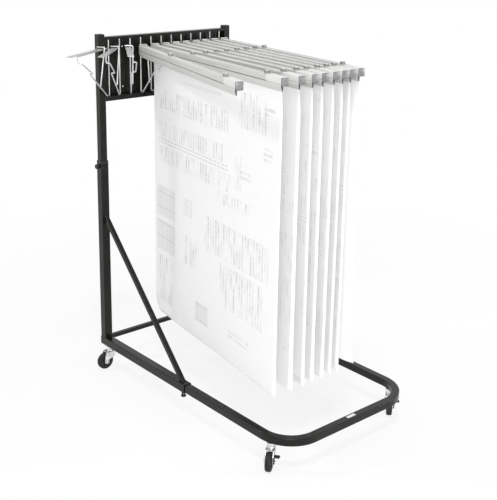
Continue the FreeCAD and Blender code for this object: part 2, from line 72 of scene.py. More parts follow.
def rounded(outline: Sequence[Flat], radius: float, steps: int = 3) -> list[Flat]:
    """Rounds every corner of a closed flat outline.

    Args:
        outline: Corner points in order.
        radius: Largest corner radius; short edges get a smaller one.
        steps: Straight pieces in each corner's arc.

    Returns:
        The points of the rounded outline, in the same order.
    """
    points: list[Flat] = []
    count = len(outline)
    for i in range(count):
        corner = Vector(outline[i])
        back = Vector(outline[i - 1]) - corner
        ahead = Vector(outline[(i + 1) % count]) - corner
        reach = min(radius, 0.45 * back.length, 0.45 * ahead.length)
        start = corner + back.normalized() * reach
        end = corner + ahead.normalized() * reach
        for step in range(steps + 1):
            t = step / steps
            mixed = start * (1 - t) ** 2 + corner * 2 * t * (1 - t) + end * t**2
            points.append((mixed.x, mixed.y))
    return points


def shrunk(outline: Sequence[Flat], share: float) -> list[Flat]:
    """Draws an outline in towards its middle.

    Args:
        outline: Points of a closed flat outline.
        share: New size over old size.

    Returns:
        The points of the smaller outline.
    """
    mid_a = sum(p[0] for p in outline) / len(outline)
    mid_b = sum(p[1] for p in outline) / len(outline)
    return [(mid_a + (a - mid_a) * share, mid_b + (b - mid_b) * share) for a, b in outline]


def to_front(x: float, z: float, depth: float) -> Vector:
    """Puts a section seen from the front at a distance in front of the pivot."""
    return Vector((x, -depth, z))


def to_side(y: float, z: float, depth: float) -> Vector:
    """Puts a section seen from the side at a distance to the right."""
    return Vector((depth, y, z))


def to_top(x: float, y: float, depth: float) -> Vector:
    """Puts a plan outline at a height."""
    return Vector((x, y, depth))


def box(left: float, low: float, right: float, high: float) -> list[Flat]:
    """Corners of an upright rectangle, in order round it."""
    return [(left, low), (right, low), (right, high), (left, high)]


def ramped(value: float, start: float, span: float) -> float:
    """0 up to a start, then evenly up to 1 over a span."""
    return min(max((value - start) / span, 0.0), 1.0)


def arc(centre: Flat, radius: float, start: float, sweep: float, steps: int) -> list[Flat]:
    """Points along an arc.

    Args:
        centre: Its middle.
        radius: Its radius.
        start: The angle of its first point, in degrees.
        sweep: The angle from its first point to its last, in degrees.
        steps: Straight pieces in it.

    Returns:
        The points, one more than the pieces.
    """
    angles = [math.radians(start + sweep * i / steps) for i in range(steps + 1)]
    return [(centre[0] + radius * math.cos(angle), centre[1] + radius * math.sin(angle)) for angle in angles]


def stepped(legs: Sequence[Leg]) -> list[float]:
    """Values from 0 on, in legs that each go up to a value in a number of even steps."""
    values = [0.0]
    for end, count in legs:
        start = values[-1]
        values += [start + (end - start) * (i + 1) / count for i in range(count)]
    return values


class Draft:
    """A mesh in the making, in millimetres."""

    def __init__(self) -> None:
        """Starts with nothing."""
        self.points: list[Vector] = []
        self.faces: list[tuple[tuple[int, ...], int]] = []
        self.marks: dict[int, Flat] = {}

    def ring(self, points: Sequence[Vector]) -> list[int]:
        """Adds points and returns their numbers."""
        start = len(self.points)
        self.points.extend(Vector(p) for p in points)
        return list(range(start, len(self.points)))

    def face(self, corners: Sequence[int], finish: int = 0) -> None:
        """Adds one face with the number of its finish."""
        self.faces.append((tuple(corners), finish))

    def bridge(self, low: Sequence[int], high: Sequence[int], finish: int = 0, closed: bool = True) -> None:
        """Joins two rings of the same length, or a ring and a pole.

        Args:
            low: Numbers of the first ring's points.
            high: Numbers of the second ring's points.
            finish: Number of the faces' finish.
            closed: Whether the last point joins the first.
        """
        span = max(len(low), len(high))
        for i in range(span if closed else span - 1):
            j = (i + 1) % span
            if len(low) == 1:
                self.face((low[0], high[j], high[i]), finish)
            elif len(high) == 1:
                self.face((low[i], low[j], high[0]), finish)
            else:
                self.face((low[i], low[j], high[j], high[i]), finish)

    def join(self, rings: Sequence[Sequence[int]], finishes: Sequence[int]) -> None:
        """Joins rings in order, with one finish for all spans or one for each."""
        for i, (low, high) in enumerate(zip(rings, rings[1:])):
            self.bridge(low, high, finishes[min(i, len(finishes) - 1)])

    def loft(self, sections: Sequence[Sequence[Vector]], finishes: Sequence[int] = (0,)) -> None:
        """Lofts a closed shell through closed sections and caps both ends.

        Args:
            sections: Rings of points, one after another.
            finishes: One finish for all faces, or one for each span and then one for the far cap.
        """
        rings = [self.ring(section) for section in sections]
        self.join(rings, finishes)
        self.face(rings[0], finishes[0])
        self.face(rings[-1], finishes[-1])

    def prism(
        self, outline: Sequence[Flat], low: float, high: float, lift: Lift, edge: float = 0.0, finish: int = 0
    ) -> None:
        """Adds a straight bar of one section, its two ends eased.

        Args:
            outline: The section.
            low: Where the bar starts.
            high: Where it ends.
            lift: Puts a point of the section at a depth.
            edge: Width of the eased edge at each end.
            finish: Number of its finish.
        """
        levels = [(low, 1.0), (high, 1.0)]
        if edge:
            share = 1 - edge / max(abs(a - outline[0][0]) for a, _ in outline)
            levels = [(low, share), (low + edge, 1.0), (high - edge, 1.0), (high, share)]
        self.loft([[lift(a, b, depth) for a, b in shrunk(outline, share)] for depth, share in levels], (finish,))

    def turned(self, profile: Sequence[Flat], lift: Lift, steps: int = 32, finishes: Sequence[int] = (0,)) -> None:
        """Turns a profile round an axis into a closed shell.

        Args:
            profile: Radius and distance along the axis, from one pole or bore edge to the other.
            lift: Puts a point across the axis at a distance along it.
            steps: Points round the axis.
            finishes: One finish for all spans, or one for each span.
        """
        rings = []
        for radius, along in profile:
            angles = [2 * math.pi * k / steps for k in range(steps if radius else 1)]
            rings.append(self.ring([lift(radius * math.cos(a), radius * math.sin(a), along) for a in angles]))
        self.join(rings, finishes)
        if len(rings[0]) > 1:
            self.bridge(rings[-1], rings[0], finishes[-1])

    def mesh(self, name: str, *finishes: Material, sharp: float = SHARP) -> Mesh:
        """Turns the draft into a mesh in metres with its faces outwards.

        Args:
            name: The mesh's name.
            *finishes: Materials in the order of their numbers.
            sharp: Angle in degrees above which an edge stays sharp.

        Returns:
            The new mesh.
        """
        mesh = bpy.data.meshes.new(name)
        mesh.from_pydata([p * MM for p in self.points], [], [corners for corners, _ in self.faces])
        mesh.polygons.foreach_set("material_index", [finish for _, finish in self.faces])
        for finish in finishes:
            mesh.materials.append(finish)
        if self.marks:
            layer = mesh.uv_layers.new(name="plan")
            for loop in mesh.loops:
                layer.data[loop.index].uv = self.marks.get(loop.vertex_index, (0.0, 0.0))
        work = bmesh.new()
        work.from_mesh(mesh)
        bmesh.ops.recalc_face_normals(work, faces=work.faces)
        work.to_mesh(mesh)
        work.free()
        mesh.shade_smooth()
        mesh.set_sharp_from_angle(angle=math.radians(sharp))
        return mesh


def stand(name: str, data: bpy.types.ID) -> bpy.types.Object:
    """Makes an object of its data and puts it in the scene, at the origin."""
    thing = bpy.data.objects.new(name, data)
    bpy.context.scene.collection.objects.link(thing)
    return thing


def placed(mesh: Mesh, name: str, place: Matrix) -> Mesh:
    """Copies a mesh and carries the copy to a place, keeping where each point was as its own place."""
    copy = mesh.copy()
    copy.name = name
    own = copy.attributes.new("own", "FLOAT_VECTOR", "POINT")
    own.data.foreach_set("vector", [value for point in copy.vertices for value in point.co])
    copy.transform(place)
    return copy


def joined(name: str, meshes: Sequence[Mesh]) -> Mesh:
    """Puts several meshes into one, keeping each face's material.

    Args:
        name: Name of the new mesh.
        meshes: The meshes, each with its materials.

    Returns:
        One mesh with every material once.
    """
    finishes: list[Material] = []
    work = bmesh.new()
    for mesh in meshes:
        for material in mesh.materials:
            if material not in finishes:
                finishes.append(material)
        numbers = [finishes.index(material) for material in mesh.materials]
        start = len(work.faces)
        work.from_mesh(mesh)
        work.faces.ensure_lookup_table()
        for face in work.faces[start:]:
            face.material_index = numbers[min(face.material_index, len(numbers) - 1)]
    whole = bpy.data.meshes.new(name)
    work.to_mesh(whole)
    work.free()
    for material in finishes:
        whole.materials.append(material)
    whole.set_sharp_from_angle(angle=math.radians(SHARP))
    return whole


def turned_place(x: float, y: float, degrees: float) -> Matrix:
    """The place of something drawn pointing to the front, turned to the left and carried to x, y."""
    return Matrix.Translation((x * MM, y * MM, 0)) @ Matrix.Rotation(-math.radians(degrees), 4, "Z")


def fit(name: str, mesh: Mesh, body: str, slot: str, *nodes: str) -> bpy.types.Object:
    """Makes a piece of a finished mesh and fixes it to the body that carries it.

    Args:
        name: The piece's name.
        mesh: Its mesh, in its place.
        body: The body that it moves with.
        slot: The name of a material slot; not used.
        *nodes: Solids that it stands for.

    Returns:
        The piece.
    """
    piece = stand(name, mesh)
    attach(piece, body)
    if nodes:
        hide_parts(*nodes)
    LOG.info("%s rides on %s with %d faces", piece.name, body, len(piece.data.polygons))
    return piece


# ---------------------------------------------------------------- node trees and finishes


class Wiring:
    """A node tree written one node at a time."""

    def __init__(self, tree: bpy.types.NodeTree) -> None:
        """Takes the tree to write in."""
        self.tree = tree

    def node(self, kind: str, settings: dict[str, object] | None = None, **inputs: object) -> bpy.types.Node:
        """Adds a node.

        Args:
            kind: Its full type.
            settings: Its own settings.
            **inputs: Values or sockets for its inputs by name, with _ for each space, or by number
                as i0, i1 and so on.

        Returns:
            The node.
        """
        made = self.tree.nodes.new(kind)
        for key, value in (settings or {}).items():
            setattr(made, key, value)
        for key, value in inputs.items():
            self.feed(made.inputs[int(key[1:]) if key[1:].isdigit() else key.replace("_", " ")], value)
        return made

    def feed(self, socket: Socket, value: object) -> None:
        """Links a socket to another, or sets its value."""
        if isinstance(value, Socket):
            self.tree.links.new(value, socket)
        else:
            socket.default_value = value

    def maths(self, operation: str, *values: object) -> Socket:
        """Adds a Math node and returns its result."""
        inputs = {f"i{i}": value for i, value in enumerate(values)}
        return self.node("ShaderNodeMath", {"operation": operation}, **inputs).outputs[0]

    def seen(self) -> Socket:
        """1 for what is seen straight, in a gloss or through a clear thing, else 0."""
        rays = self.node("ShaderNodeLightPath").outputs
        direct = self.maths("MAXIMUM", rays["Is Camera Ray"], rays["Is Glossy Ray"])
        return self.maths("MAXIMUM", direct, rays["Is Transmission Ray"])


class Recipe(Wiring):
    """A material written round a principled shader."""

    def __init__(self, name: str, own: bool = False, stretch: Triple = (1.0, 1.0, 1.0)) -> None:
        """Starts the material.

        Args:
            name: Its name.
            own: Whether its patterns follow the piece as it was drawn, before it was placed.
            stretch: Scale of its patterns' coordinates on each axis.
        """
        self.material = bpy.data.materials.new(name)
        self.material.use_nodes = True
        super().__init__(self.material.node_tree)
        self.shader = self.tree.nodes["Principled BSDF"]
        if own:
            drawn = self.node("ShaderNodeAttribute", {"attribute_name": "own"}).outputs["Vector"]
        else:
            drawn = self.node("ShaderNodeTexCoord").outputs["Object"]
        self.place = self.node("ShaderNodeMapping", Vector=drawn, Scale=stretch).outputs[0]

    def give(self, **sockets: object) -> None:
        """Sets or links the shader's sockets, with _ for each space in a name."""
        for key, value in sockets.items():
            self.feed(self.shader.inputs[key.replace("_", " ")], value)

    def noise(self, scale: float, detail: float, where: Socket | None = None) -> Socket:
        """A smooth random pattern between 0 and 1."""
        return self.node("ShaderNodeTexNoise", Vector=where or self.place, Scale=scale, Detail=detail).outputs[0]


@dataclass(frozen=True)
class Finish:
    """Two mingled tones with their own gloss and fine relief.

    Each pattern is the scale and detail of its noise and then two values: the stops where each
    tone is pure, the lowest and highest roughness, or the relief's strength and depth in metres.
    """

    dark: Triple
    light: Triple
    tones: Pattern
    gloss: Pattern
    relief: Pattern | None = None
    stretch: Triple = (1.0, 1.0, 1.0)
    own: bool = False
    metallic: float = 0.0
    specular: float = 0.5
    coat: Flat = (0.0, 0.03)

    def start(self, name: str) -> Recipe:
        """Starts the material with its gloss, coat and relief.

        Args:
            name: The material's name.

        Returns:
            The recipe, its colour still to be given.
        """
        recipe = Recipe(name, self.own, self.stretch)
        scale, detail, low, high = self.gloss
        rough = recipe.node("ShaderNodeMapRange", Value=recipe.noise(scale, detail), To_Min=low, To_Max=high)
        recipe.give(
            Metallic=self.metallic, Specular_IOR_Level=self.specular, Roughness=rough.outputs[0],
            Coat_Weight=self.coat[0], Coat_Roughness=self.coat[1],
        )
        if self.relief:
            scale, detail, strength, depth = self.relief
            height = recipe.noise(scale, detail)
            bump = recipe.node("ShaderNodeBump", Strength=strength, Distance=depth, Height=height)
            recipe.give(Normal=bump.outputs[0])
        return recipe

    def mingled(self, recipe: Recipe) -> Socket:
        """The two tones, one running into the other.

        Args:
            recipe: The material being written.

        Returns:
            Their colour.
        """
        scale, detail, *stops = self.tones
        ramp = recipe.node("ShaderNodeValToRGB", i0=recipe.noise(scale, detail))
        for mark, place, colour in zip(ramp.color_ramp.elements, stops, (self.dark, self.light)):
            mark.position = place
            mark.color = (*colour, 1.0)
        return ramp.outputs[0]

    def material(self, name: str) -> Material:
        """Builds the material.

        Args:
            name: Its name.

        Returns:
            The material.
        """
        recipe = self.start(name)
        recipe.give(Base_Color=self.mingled(recipe))
        return recipe.material


def grey(tone: float) -> Triple:
    """A plain grey."""
    return tone, tone, tone


@dataclass(frozen=True)
class PowderCoat(Finish):
    """Warm black powder coat with a fine orange peel."""

    dark: Triple = (0.0045, 0.0043, 0.0034)
    light: Triple = (0.0085, 0.0080, 0.0064)
    tones: Pattern = (7.0, 4.0, 0.35, 0.7)
    gloss: Pattern = (60.0, 3.0, 0.26, 0.40)
    relief: Pattern = (700.0, 2.0, 0.25, 0.00008)
    specular: float = 0.12
    coat: Flat = (0.34, 0.05)


@dataclass(frozen=True)
class BrightZinc(Finish):
    """Zinc plate on wire or pressed steel, with drawn or rolled streaks."""

    dark: Triple = (0.50, 0.50, 0.495)
    light: Triple = (0.76, 0.76, 0.75)
    tones: Pattern = (45.0, 4.0, 0.3, 0.65)
    gloss: Pattern = (120.0, 3.0, 0.22, 0.44)
    relief: Pattern = (900.0, 2.0, 0.25, 0.00006)
    stretch: Triple = (1.0, 1.0, 0.25)
    metallic: float = 0.8


@dataclass(frozen=True)
class SatinAluminium(Finish):
    """Satin anodised extrusion with fine lines along it."""

    dark: Triple = (0.56, 0.56, 0.545)
    light: Triple = (0.68, 0.68, 0.665)
    tones: Pattern = (260.0, 4.0, 0.3, 0.6)
    gloss: Pattern = (500.0, 2.0, 0.34, 0.5)
    relief: Pattern = (1400.0, 2.0, 0.3, 0.00005)
    stretch: Triple = (1.0, 0.012, 1.0)
    own: bool = True
    metallic: float = 0.2


@dataclass(frozen=True)
class MouldedBlack(Finish):
    """Black moulded plastic with a fine spark texture."""

    dark: Triple = grey(0.010)
    light: Triple = grey(0.022)
    tones: Pattern = (90.0, 3.0, 0.3, 0.7)
    gloss: Pattern = (300.0, 2.0, 0.4, 0.58)
    relief: Pattern = (2200.0, 1.0, 0.3, 0.00008)
    specular: float = 0.4


@dataclass(frozen=True)
class TreadRubber(Finish):
    """Dark rubber with dusty patches."""

    dark: Triple = grey(0.012)
    light: Triple = (0.045, 0.044, 0.042)
    tones: Pattern = (55.0, 5.0, 0.4, 0.8)
    gloss: Pattern = (80.0, 3.0, 0.55, 0.8)
    relief: Pattern = (1500.0, 3.0, 0.4, 0.0001)
    specular: float = 0.3


@dataclass(frozen=True)
class LabelPaper(Finish):
    """Blank label stock with a slight sheen."""

    dark: Triple = (0.837, 0.837, 0.8277)
    light: Triple = (0.90, 0.90, 0.89)
    tones: Pattern = (80.0, 4.0, 0.2, 0.8)
    gloss: Pattern = (200.0, 2.0, 0.4, 0.55)
    specular: float = 0.4


class Print(Enum):
    """Kinds of plan work printed on a sheet."""

    ROWS = "notes in rows across"
    COLUMNS = "notes set sideways"
    TABLE = "ruled table"
    CHAIN = "pair of dashed lines"
    TINT = "shaded panel with upright lines"


@dataclass(frozen=True)
class PlanPaper(Finish):
    """White plan paper with faint generic plan work, laid out on the leaf's own map in metres.

    Each block is its kind, then its left, top, right and bottom on the leaf, measured from the
    rear top corner. Words and bars each have the pitch of their lines, the lines' width as a share
    of it, and how fast they change along a line and from line to line. A grid has the width and
    height of its cells and the width of its lines.
    """

    dark: Triple = grey(0.9165)
    light: Triple = grey(0.94)
    tones: Pattern = (30.0, 5.0, 0.2, 0.8)
    gloss: Pattern = (150.0, 3.0, 0.72, 0.88)
    relief: Pattern = (1100.0, 3.0, 0.12, 0.00006)
    specular: float = 0.2
    ink: Triple = (0.20, 0.20, 0.21)
    strength: float = 0.5
    words: Pattern = (0.0042, 0.6, 110.0, 7.31)
    word_break: float = 0.41
    bars: Pattern = (0.021, 0.5, 10.0, 5.37)
    bar_fade: Flat = (0.38, 0.62)
    table: Triple = (0.043, 0.013, 0.0016)
    tint: Triple = (0.017, 0.07, 0.0022)
    tint_grey: float = 0.16
    dash: Flat = (0.031, 0.78)
    chain_edge: float = 0.68
    blocks: tuple[tuple[Print, float, float, float, float], ...] = (
        (Print.CHAIN, 0.24, 0.104, 0.59, 0.113),
        (Print.COLUMNS, 0.05, 0.165, 0.64, 0.250),
        (Print.COLUMNS, 0.06, 0.305, 0.60, 0.375),
        (Print.CHAIN, 0.04, 0.384, 0.64, 0.402),
        (Print.COLUMNS, 0.05, 0.415, 0.66, 0.490),
        (Print.COLUMNS, 0.70, 0.330, 0.74, 0.460),
        (Print.ROWS, 0.73, 0.375, 0.81, 0.415),
        (Print.COLUMNS, 0.54, 0.500, 0.80, 0.550),
        (Print.COLUMNS, 0.72, 0.070, 0.92, 0.210),
        (Print.ROWS, 0.90, 0.100, 0.97, 0.135),
        (Print.ROWS, 0.90, 0.250, 0.96, 0.305),
        (Print.TINT, 0.02, 0.600, 0.19, 0.740),
        (Print.TINT, 0.02, 0.765, 0.19, 0.905),
        (Print.COLUMNS, 0.03, 0.930, 0.17, 1.150),
        (Print.TABLE, 0.27, 0.600, 0.35, 0.680),
        (Print.COLUMNS, 0.46, 0.630, 0.95, 0.780),
        (Print.COLUMNS, 0.28, 0.770, 0.40, 0.900),
        (Print.COLUMNS, 0.58, 0.800, 0.92, 0.985),
        (Print.TINT, 0.38, 1.040, 0.49, 1.130),
        (Print.ROWS, 0.66, 1.060, 0.82, 1.110),
    )

    @staticmethod
    def lines(recipe: Recipe, along: Socket, across: Socket, style: Pattern) -> tuple[Socket, Socket]:
        """Parallel lines and a noise that changes along them and from line to line.

        Args:
            recipe: The material being written.
            along: Distance along the lines, in metres.
            across: Distance across the lines, in metres.
            style: The lines' pitch, width share and two rates of change.

        Returns:
            A mask, 1 on the lines, and the noise.
        """
        pitch, width, along_rate, line_rate = style
        line = recipe.maths("DIVIDE", across, pitch)
        strip = recipe.maths("LESS_THAN", recipe.maths("FRACT", line), width)
        where = recipe.node(
            "ShaderNodeCombineXYZ",
            X=recipe.maths("MULTIPLY", along, along_rate),
            Y=recipe.maths("MULTIPLY", recipe.maths("FLOOR", line), line_rate),
        )
        return strip, recipe.noise(1.0, 1.0, where.outputs[0])

    def notes(self, recipe: Recipe, along: Socket, across: Socket) -> Socket:
        """Lines of lettering in groups of uneven length and weight.

        Args:
            recipe: The material being written.
            along: Distance along the lines, in metres.
            across: Distance across the lines, in metres.

        Returns:
            A weight between 0 and 1.
        """
        strip, letters = self.lines(recipe, along, across, self.words)
        words = recipe.maths("MULTIPLY", strip, recipe.maths("GREATER_THAN", letters, self.word_break))
        group, weight = self.lines(recipe, along, across, self.bars)
        low, high = self.bar_fade
        uneven = recipe.node("ShaderNodeMapRange", Value=weight, From_Min=low, From_Max=high).outputs[0]
        return recipe.maths("MULTIPLY", words, recipe.maths("MULTIPLY", group, uneven))

    def ruled(self, recipe: Recipe, across: Socket, down: Socket, grid: Triple) -> Socket:
        """Ruled lines on both axes.

        Args:
            recipe: The material being written.
            across: Distance across, in metres.
            down: Distance down, in metres.
            grid: Width and height of a cell and width of a line.

        Returns:
            A mask, 1 on the lines.
        """
        masks = []
        for distance, pitch in ((across, grid[0]), (down, grid[1])):
            part = recipe.maths("FRACT", recipe.maths("DIVIDE", distance, pitch))
            masks.append(recipe.maths("LESS_THAN", part, grid[2] / pitch))
        return recipe.maths("MAXIMUM", *masks)

    def block(self, recipe: Recipe, leaf: Socket, corners: Pattern) -> tuple[Socket, Socket]:
        """Where a block lies on the leaf.

        Args:
            recipe: The material being written.
            leaf: The leaf's own map.
            corners: The block's left, top, right and bottom.

        Returns:
            A mask, 1 inside it, and the distance from its middle line, 1 at its top and bottom.
        """
        left, top, right, bottom = corners
        wide, tall = right - left, bottom - top
        local = recipe.node(
            "ShaderNodeMapping", Vector=leaf, Scale=(2 / wide, 2 / tall, 0.0),
            Location=(-(left + right) / wide, -(top + bottom) / tall, 0.0),
        )
        reach = recipe.node("ShaderNodeVectorMath", {"operation": "ABSOLUTE"}, i0=local.outputs[0])
        sides = recipe.node("ShaderNodeSeparateXYZ", Vector=reach.outputs[0]).outputs
        return recipe.maths("LESS_THAN", recipe.maths("MAXIMUM", sides[0], sides[1]), 1.0), sides[1]

    def material(self, name: str) -> Material:
        """Builds the paper with its print.

        Args:
            name: The material's name.

        Returns:
            The material.
        """
        recipe = self.start(name)
        leaf = recipe.node("ShaderNodeUVMap", {"uv_map": "plan"}).outputs[0]
        across, down, _ = recipe.node("ShaderNodeSeparateXYZ", Vector=leaf).outputs
        pitch, share = self.dash
        dash = recipe.maths("LESS_THAN", recipe.maths("FRACT", recipe.maths("DIVIDE", across, pitch)), share)
        patterns = {
            Print.ROWS: self.notes(recipe, across, down),
            Print.COLUMNS: self.notes(recipe, down, across),
            Print.TABLE: self.ruled(recipe, across, down, self.table),
            Print.TINT: recipe.maths("MAXIMUM", self.ruled(recipe, across, down, self.tint), self.tint_grey),
        }
        ink: Socket | float = 0.0
        for kind, *corners in self.blocks:
            inside, middle = self.block(recipe, leaf, tuple(corners))
            if kind is Print.CHAIN:
                pattern = recipe.maths("MULTIPLY", recipe.maths("GREATER_THAN", middle, self.chain_edge), dash)
            else:
                pattern = patterns[kind]
            ink = recipe.maths("MAXIMUM", ink, recipe.maths("MULTIPLY", inside, pattern))
        weight = recipe.maths("MULTIPLY", ink, self.strength)
        mixed = recipe.node(
            "ShaderNodeMix", {"data_type": "RGBA"}, i0=weight, i6=self.mingled(recipe), i7=(*self.ink, 1.0)
        )
        recipe.give(Base_Color=mixed.outputs[2])
        return recipe.material


def made(finish: Finish, name: str) -> Any:
    """A dataclass field that holds a finish's material, built with the rest."""
    return field(default_factory=lambda: finish.material(name))


@dataclass
class Finishes:
    """Every finish of the rack, made once."""

    coat: Material = made(PowderCoat(), "black_powder_coat")
    wire: Material = made(BrightZinc(), "zinc_wire_finish")
    tray: Material = made(
        BrightZinc(
            grey(0.40), (0.56, 0.56, 0.55), gloss=(120.0, 3.0, 0.28, 0.50), stretch=(1.0, 0.05, 1.0), own=True
        ),
        "zinc_tray_finish",
    )
    fork: Material = made(
        BrightZinc(
            grey(0.55), (0.86, 0.86, 0.85), gloss=(120.0, 3.0, 0.12, 0.34), stretch=(1.0, 1.0, 0.6), metallic=0.85
        ),
        "zinc_fork_finish",
    )
    aluminium: Material = made(SatinAluminium(), "satin_aluminium")
    # The bright sleeve's finish, also used for the painted highlight strips on the clamps' top edges.
    sleeve: Material = made(
        SatinAluminium((0.74, 0.74, 0.73), (0.84, 0.84, 0.83), metallic=0.15), "bright_sleeve_and_painted_highlight"
    )
    # The dark knurl finish, also used for the painted shade strips in the clamps' seam and top grooves.
    knurl: Material = made(
        BrightZinc(grey(0.05), grey(0.14), gloss=(120.0, 3.0, 0.26, 0.48), stretch=(1.0, 1.0, 0.3)),
        "zinc_knurl_and_painted_shade",
    )
    cap: Material = made(
        BrightZinc(grey(0.23), grey(0.33), gloss=(120.0, 3.0, 0.37, 0.59), stretch=(1.0, 1.0, 1.0)),
        "end_cap_grey",
    )
    plastic: Material = made(MouldedBlack(), "moulded_black")
    rubber: Material = made(TreadRubber(), "tread_rubber")
    paper: Material = made(PlanPaper(), "plan_paper")
    faint: Material = made(PlanPaper(strength=0.24), "faint_plan_paper")
    label: Material = made(LabelPaper(), "label_paper")


class Growth(Wiring):
    """A geometry node tree with named sizes, ending in Realize Instances and Set Material."""

    def __init__(self, name: str, **sizes: float | int) -> None:
        """Starts the tree.

        Args:
            name: Its name.
            **sizes: Named inputs and their usual values; whole numbers are counts.
        """
        super().__init__(bpy.data.node_groups.new(name, "GeometryNodeTree"))
        sockets = self.tree.interface
        for way in ("INPUT", "OUTPUT"):
            sockets.new_socket("Geometry", in_out=way, socket_type="NodeSocketGeometry")
        for key, value in sizes.items():
            kind = "NodeSocketInt" if isinstance(value, int) else "NodeSocketFloat"
            sockets.new_socket(key, in_out="INPUT", socket_type=kind).default_value = value
        sockets.new_socket("Finish", in_out="INPUT", socket_type="NodeSocketMaterial")
        self.entry = self.node("NodeGroupInput").outputs
        self.exit = self.node("NodeGroupOutput").inputs

    def end(self, *geometries: Socket) -> "Growth":
        """Joins the results, realizes them, gives them their finish and closes the tree."""
        join = self.node("GeometryNodeJoinGeometry")
        for geometry in reversed(geometries):
            self.feed(join.inputs[0], geometry)
        real = self.node("GeometryNodeRealizeInstances", Geometry=join.outputs[0])
        done = self.node("GeometryNodeSetMaterial", Geometry=real.outputs[0], Material=self.entry["Finish"])
        self.feed(self.exit[0], done.outputs[0])
        return self

    def grown(self, name: str, carrier: bpy.types.Object, finish: Material, **sizes: float | int) -> Mesh:
        """Runs the tree on a carrier and returns the result as a plain mesh.

        Args:
            name: Name of the new mesh.
            carrier: Object whose curve or mesh the tree starts from; it is removed.
            finish: The material that the result gets.
            **sizes: Values for the tree's named inputs.

        Returns:
            The plain mesh.
        """
        values: dict[str, object] = {**sizes, "Finish": finish}
        modifier = carrier.modifiers.new("growth", "NODES")
        modifier.node_group = self.tree
        for item in self.tree.interface.items_tree:
            if item.in_out == "INPUT" and item.name in values:
                modifier[item.identifier] = values[item.name]
        carrier.update_tag()
        graph = bpy.context.evaluated_depsgraph_get()
        mesh = bpy.data.meshes.new_from_object(carrier.evaluated_get(graph), depsgraph=graph)
        mesh.name = name
        carrier.modifiers.remove(modifier)
        bpy.data.objects.remove(carrier)
        mesh.shade_smooth()
        mesh.set_sharp_from_angle(angle=math.radians(SHARP))
        return mesh


def path_carrier(paths: Sequence[Run]) -> bpy.types.Object:
    """A curve object of straight runs for a tree to start from.

    Args:
        paths: Points of each run in millimetres.

    Returns:
        The curve object.
    """
    curve = bpy.data.curves.new("runs", "CURVE")
    curve.dimensions = "3D"
    for path in paths:
        spline = curve.splines.new("POLY")
        spline.points.add(len(path) - 1)
        for point, target in zip(spline.points, path):
            point.co = (*(Vector(target) * MM), 1.0)
    return stand("runs", curve)


def wire_growth() -> Growth:
    """The tree that bends round wire along straight runs."""
    tree = Growth("bent_wire", wire_radius=0.003, bend_radius=0.008, bend_steps=6, sides=14)
    sizes = tree.entry
    bends = tree.node(
        "GeometryNodeFilletCurve", {"mode": "POLY"}, Curve=sizes["Geometry"],
        Radius=sizes["bend_radius"], Count=sizes["bend_steps"], Limit_Radius=True,
    )
    section = tree.node("GeometryNodeCurvePrimitiveCircle", Resolution=sizes["sides"], Radius=sizes["wire_radius"])
    swept = tree.node(
        "GeometryNodeCurveToMesh", Curve=bends.outputs[0], Profile_Curve=section.outputs[0], Fill_Caps=True
    )
    return tree.end(swept.outputs[0])


def rib_growth() -> Growth:
    """The tree that sets upright ribs round a knob's core."""
    tree = Growth("knob_ribs", radius=0.01, height=0.011, rib_radius=0.0006, ribs=30)
    sizes = tree.entry
    circle = tree.node("GeometryNodeMeshCircle", Vertices=sizes["ribs"], Radius=sizes["radius"])
    rib = tree.node("GeometryNodeMeshCylinder", Vertices=8, Radius=sizes["rib_radius"], Depth=sizes["height"])
    points = tree.node("GeometryNodeInstanceOnPoints", Points=circle.outputs[0], Instance=rib.outputs[0])
    return tree.end(sizes["Geometry"], points.outputs[0])


def weld_growth() -> Growth:
    """The tree that lays overlapping weld beads along a run."""
    tree = Growth("weld_run", bead_radius=0.002, pitch=0.0022, spread=0.2, seed=4)
    sizes = tree.entry
    dots = tree.node(
        "GeometryNodeResampleCurve", {"mode": "LENGTH"}, Curve=sizes["Geometry"], Length=sizes["pitch"]
    )
    points = tree.node("GeometryNodeCurveToPoints", {"mode": "EVALUATED"}, Curve=dots.outputs[0])
    bead = tree.node("GeometryNodeMeshIcoSphere", Radius=sizes["bead_radius"], Subdivisions=2)
    low = tree.node("ShaderNodeMath", {"operation": "SUBTRACT"}, i0=1.0, i1=sizes["spread"])
    scale = tree.node(
        "FunctionNodeRandomValue", {"data_type": "FLOAT"}, i2=low.outputs[0], i3=1.0, Seed=sizes["seed"]
    )
    beads = tree.node(
        "GeometryNodeInstanceOnPoints", Points=points.outputs[0], Instance=bead.outputs[0], Scale=scale.outputs[1]
    )
    return tree.end(beads.outputs[0])


# ---------------------------------------------------------------- sub-assemblies


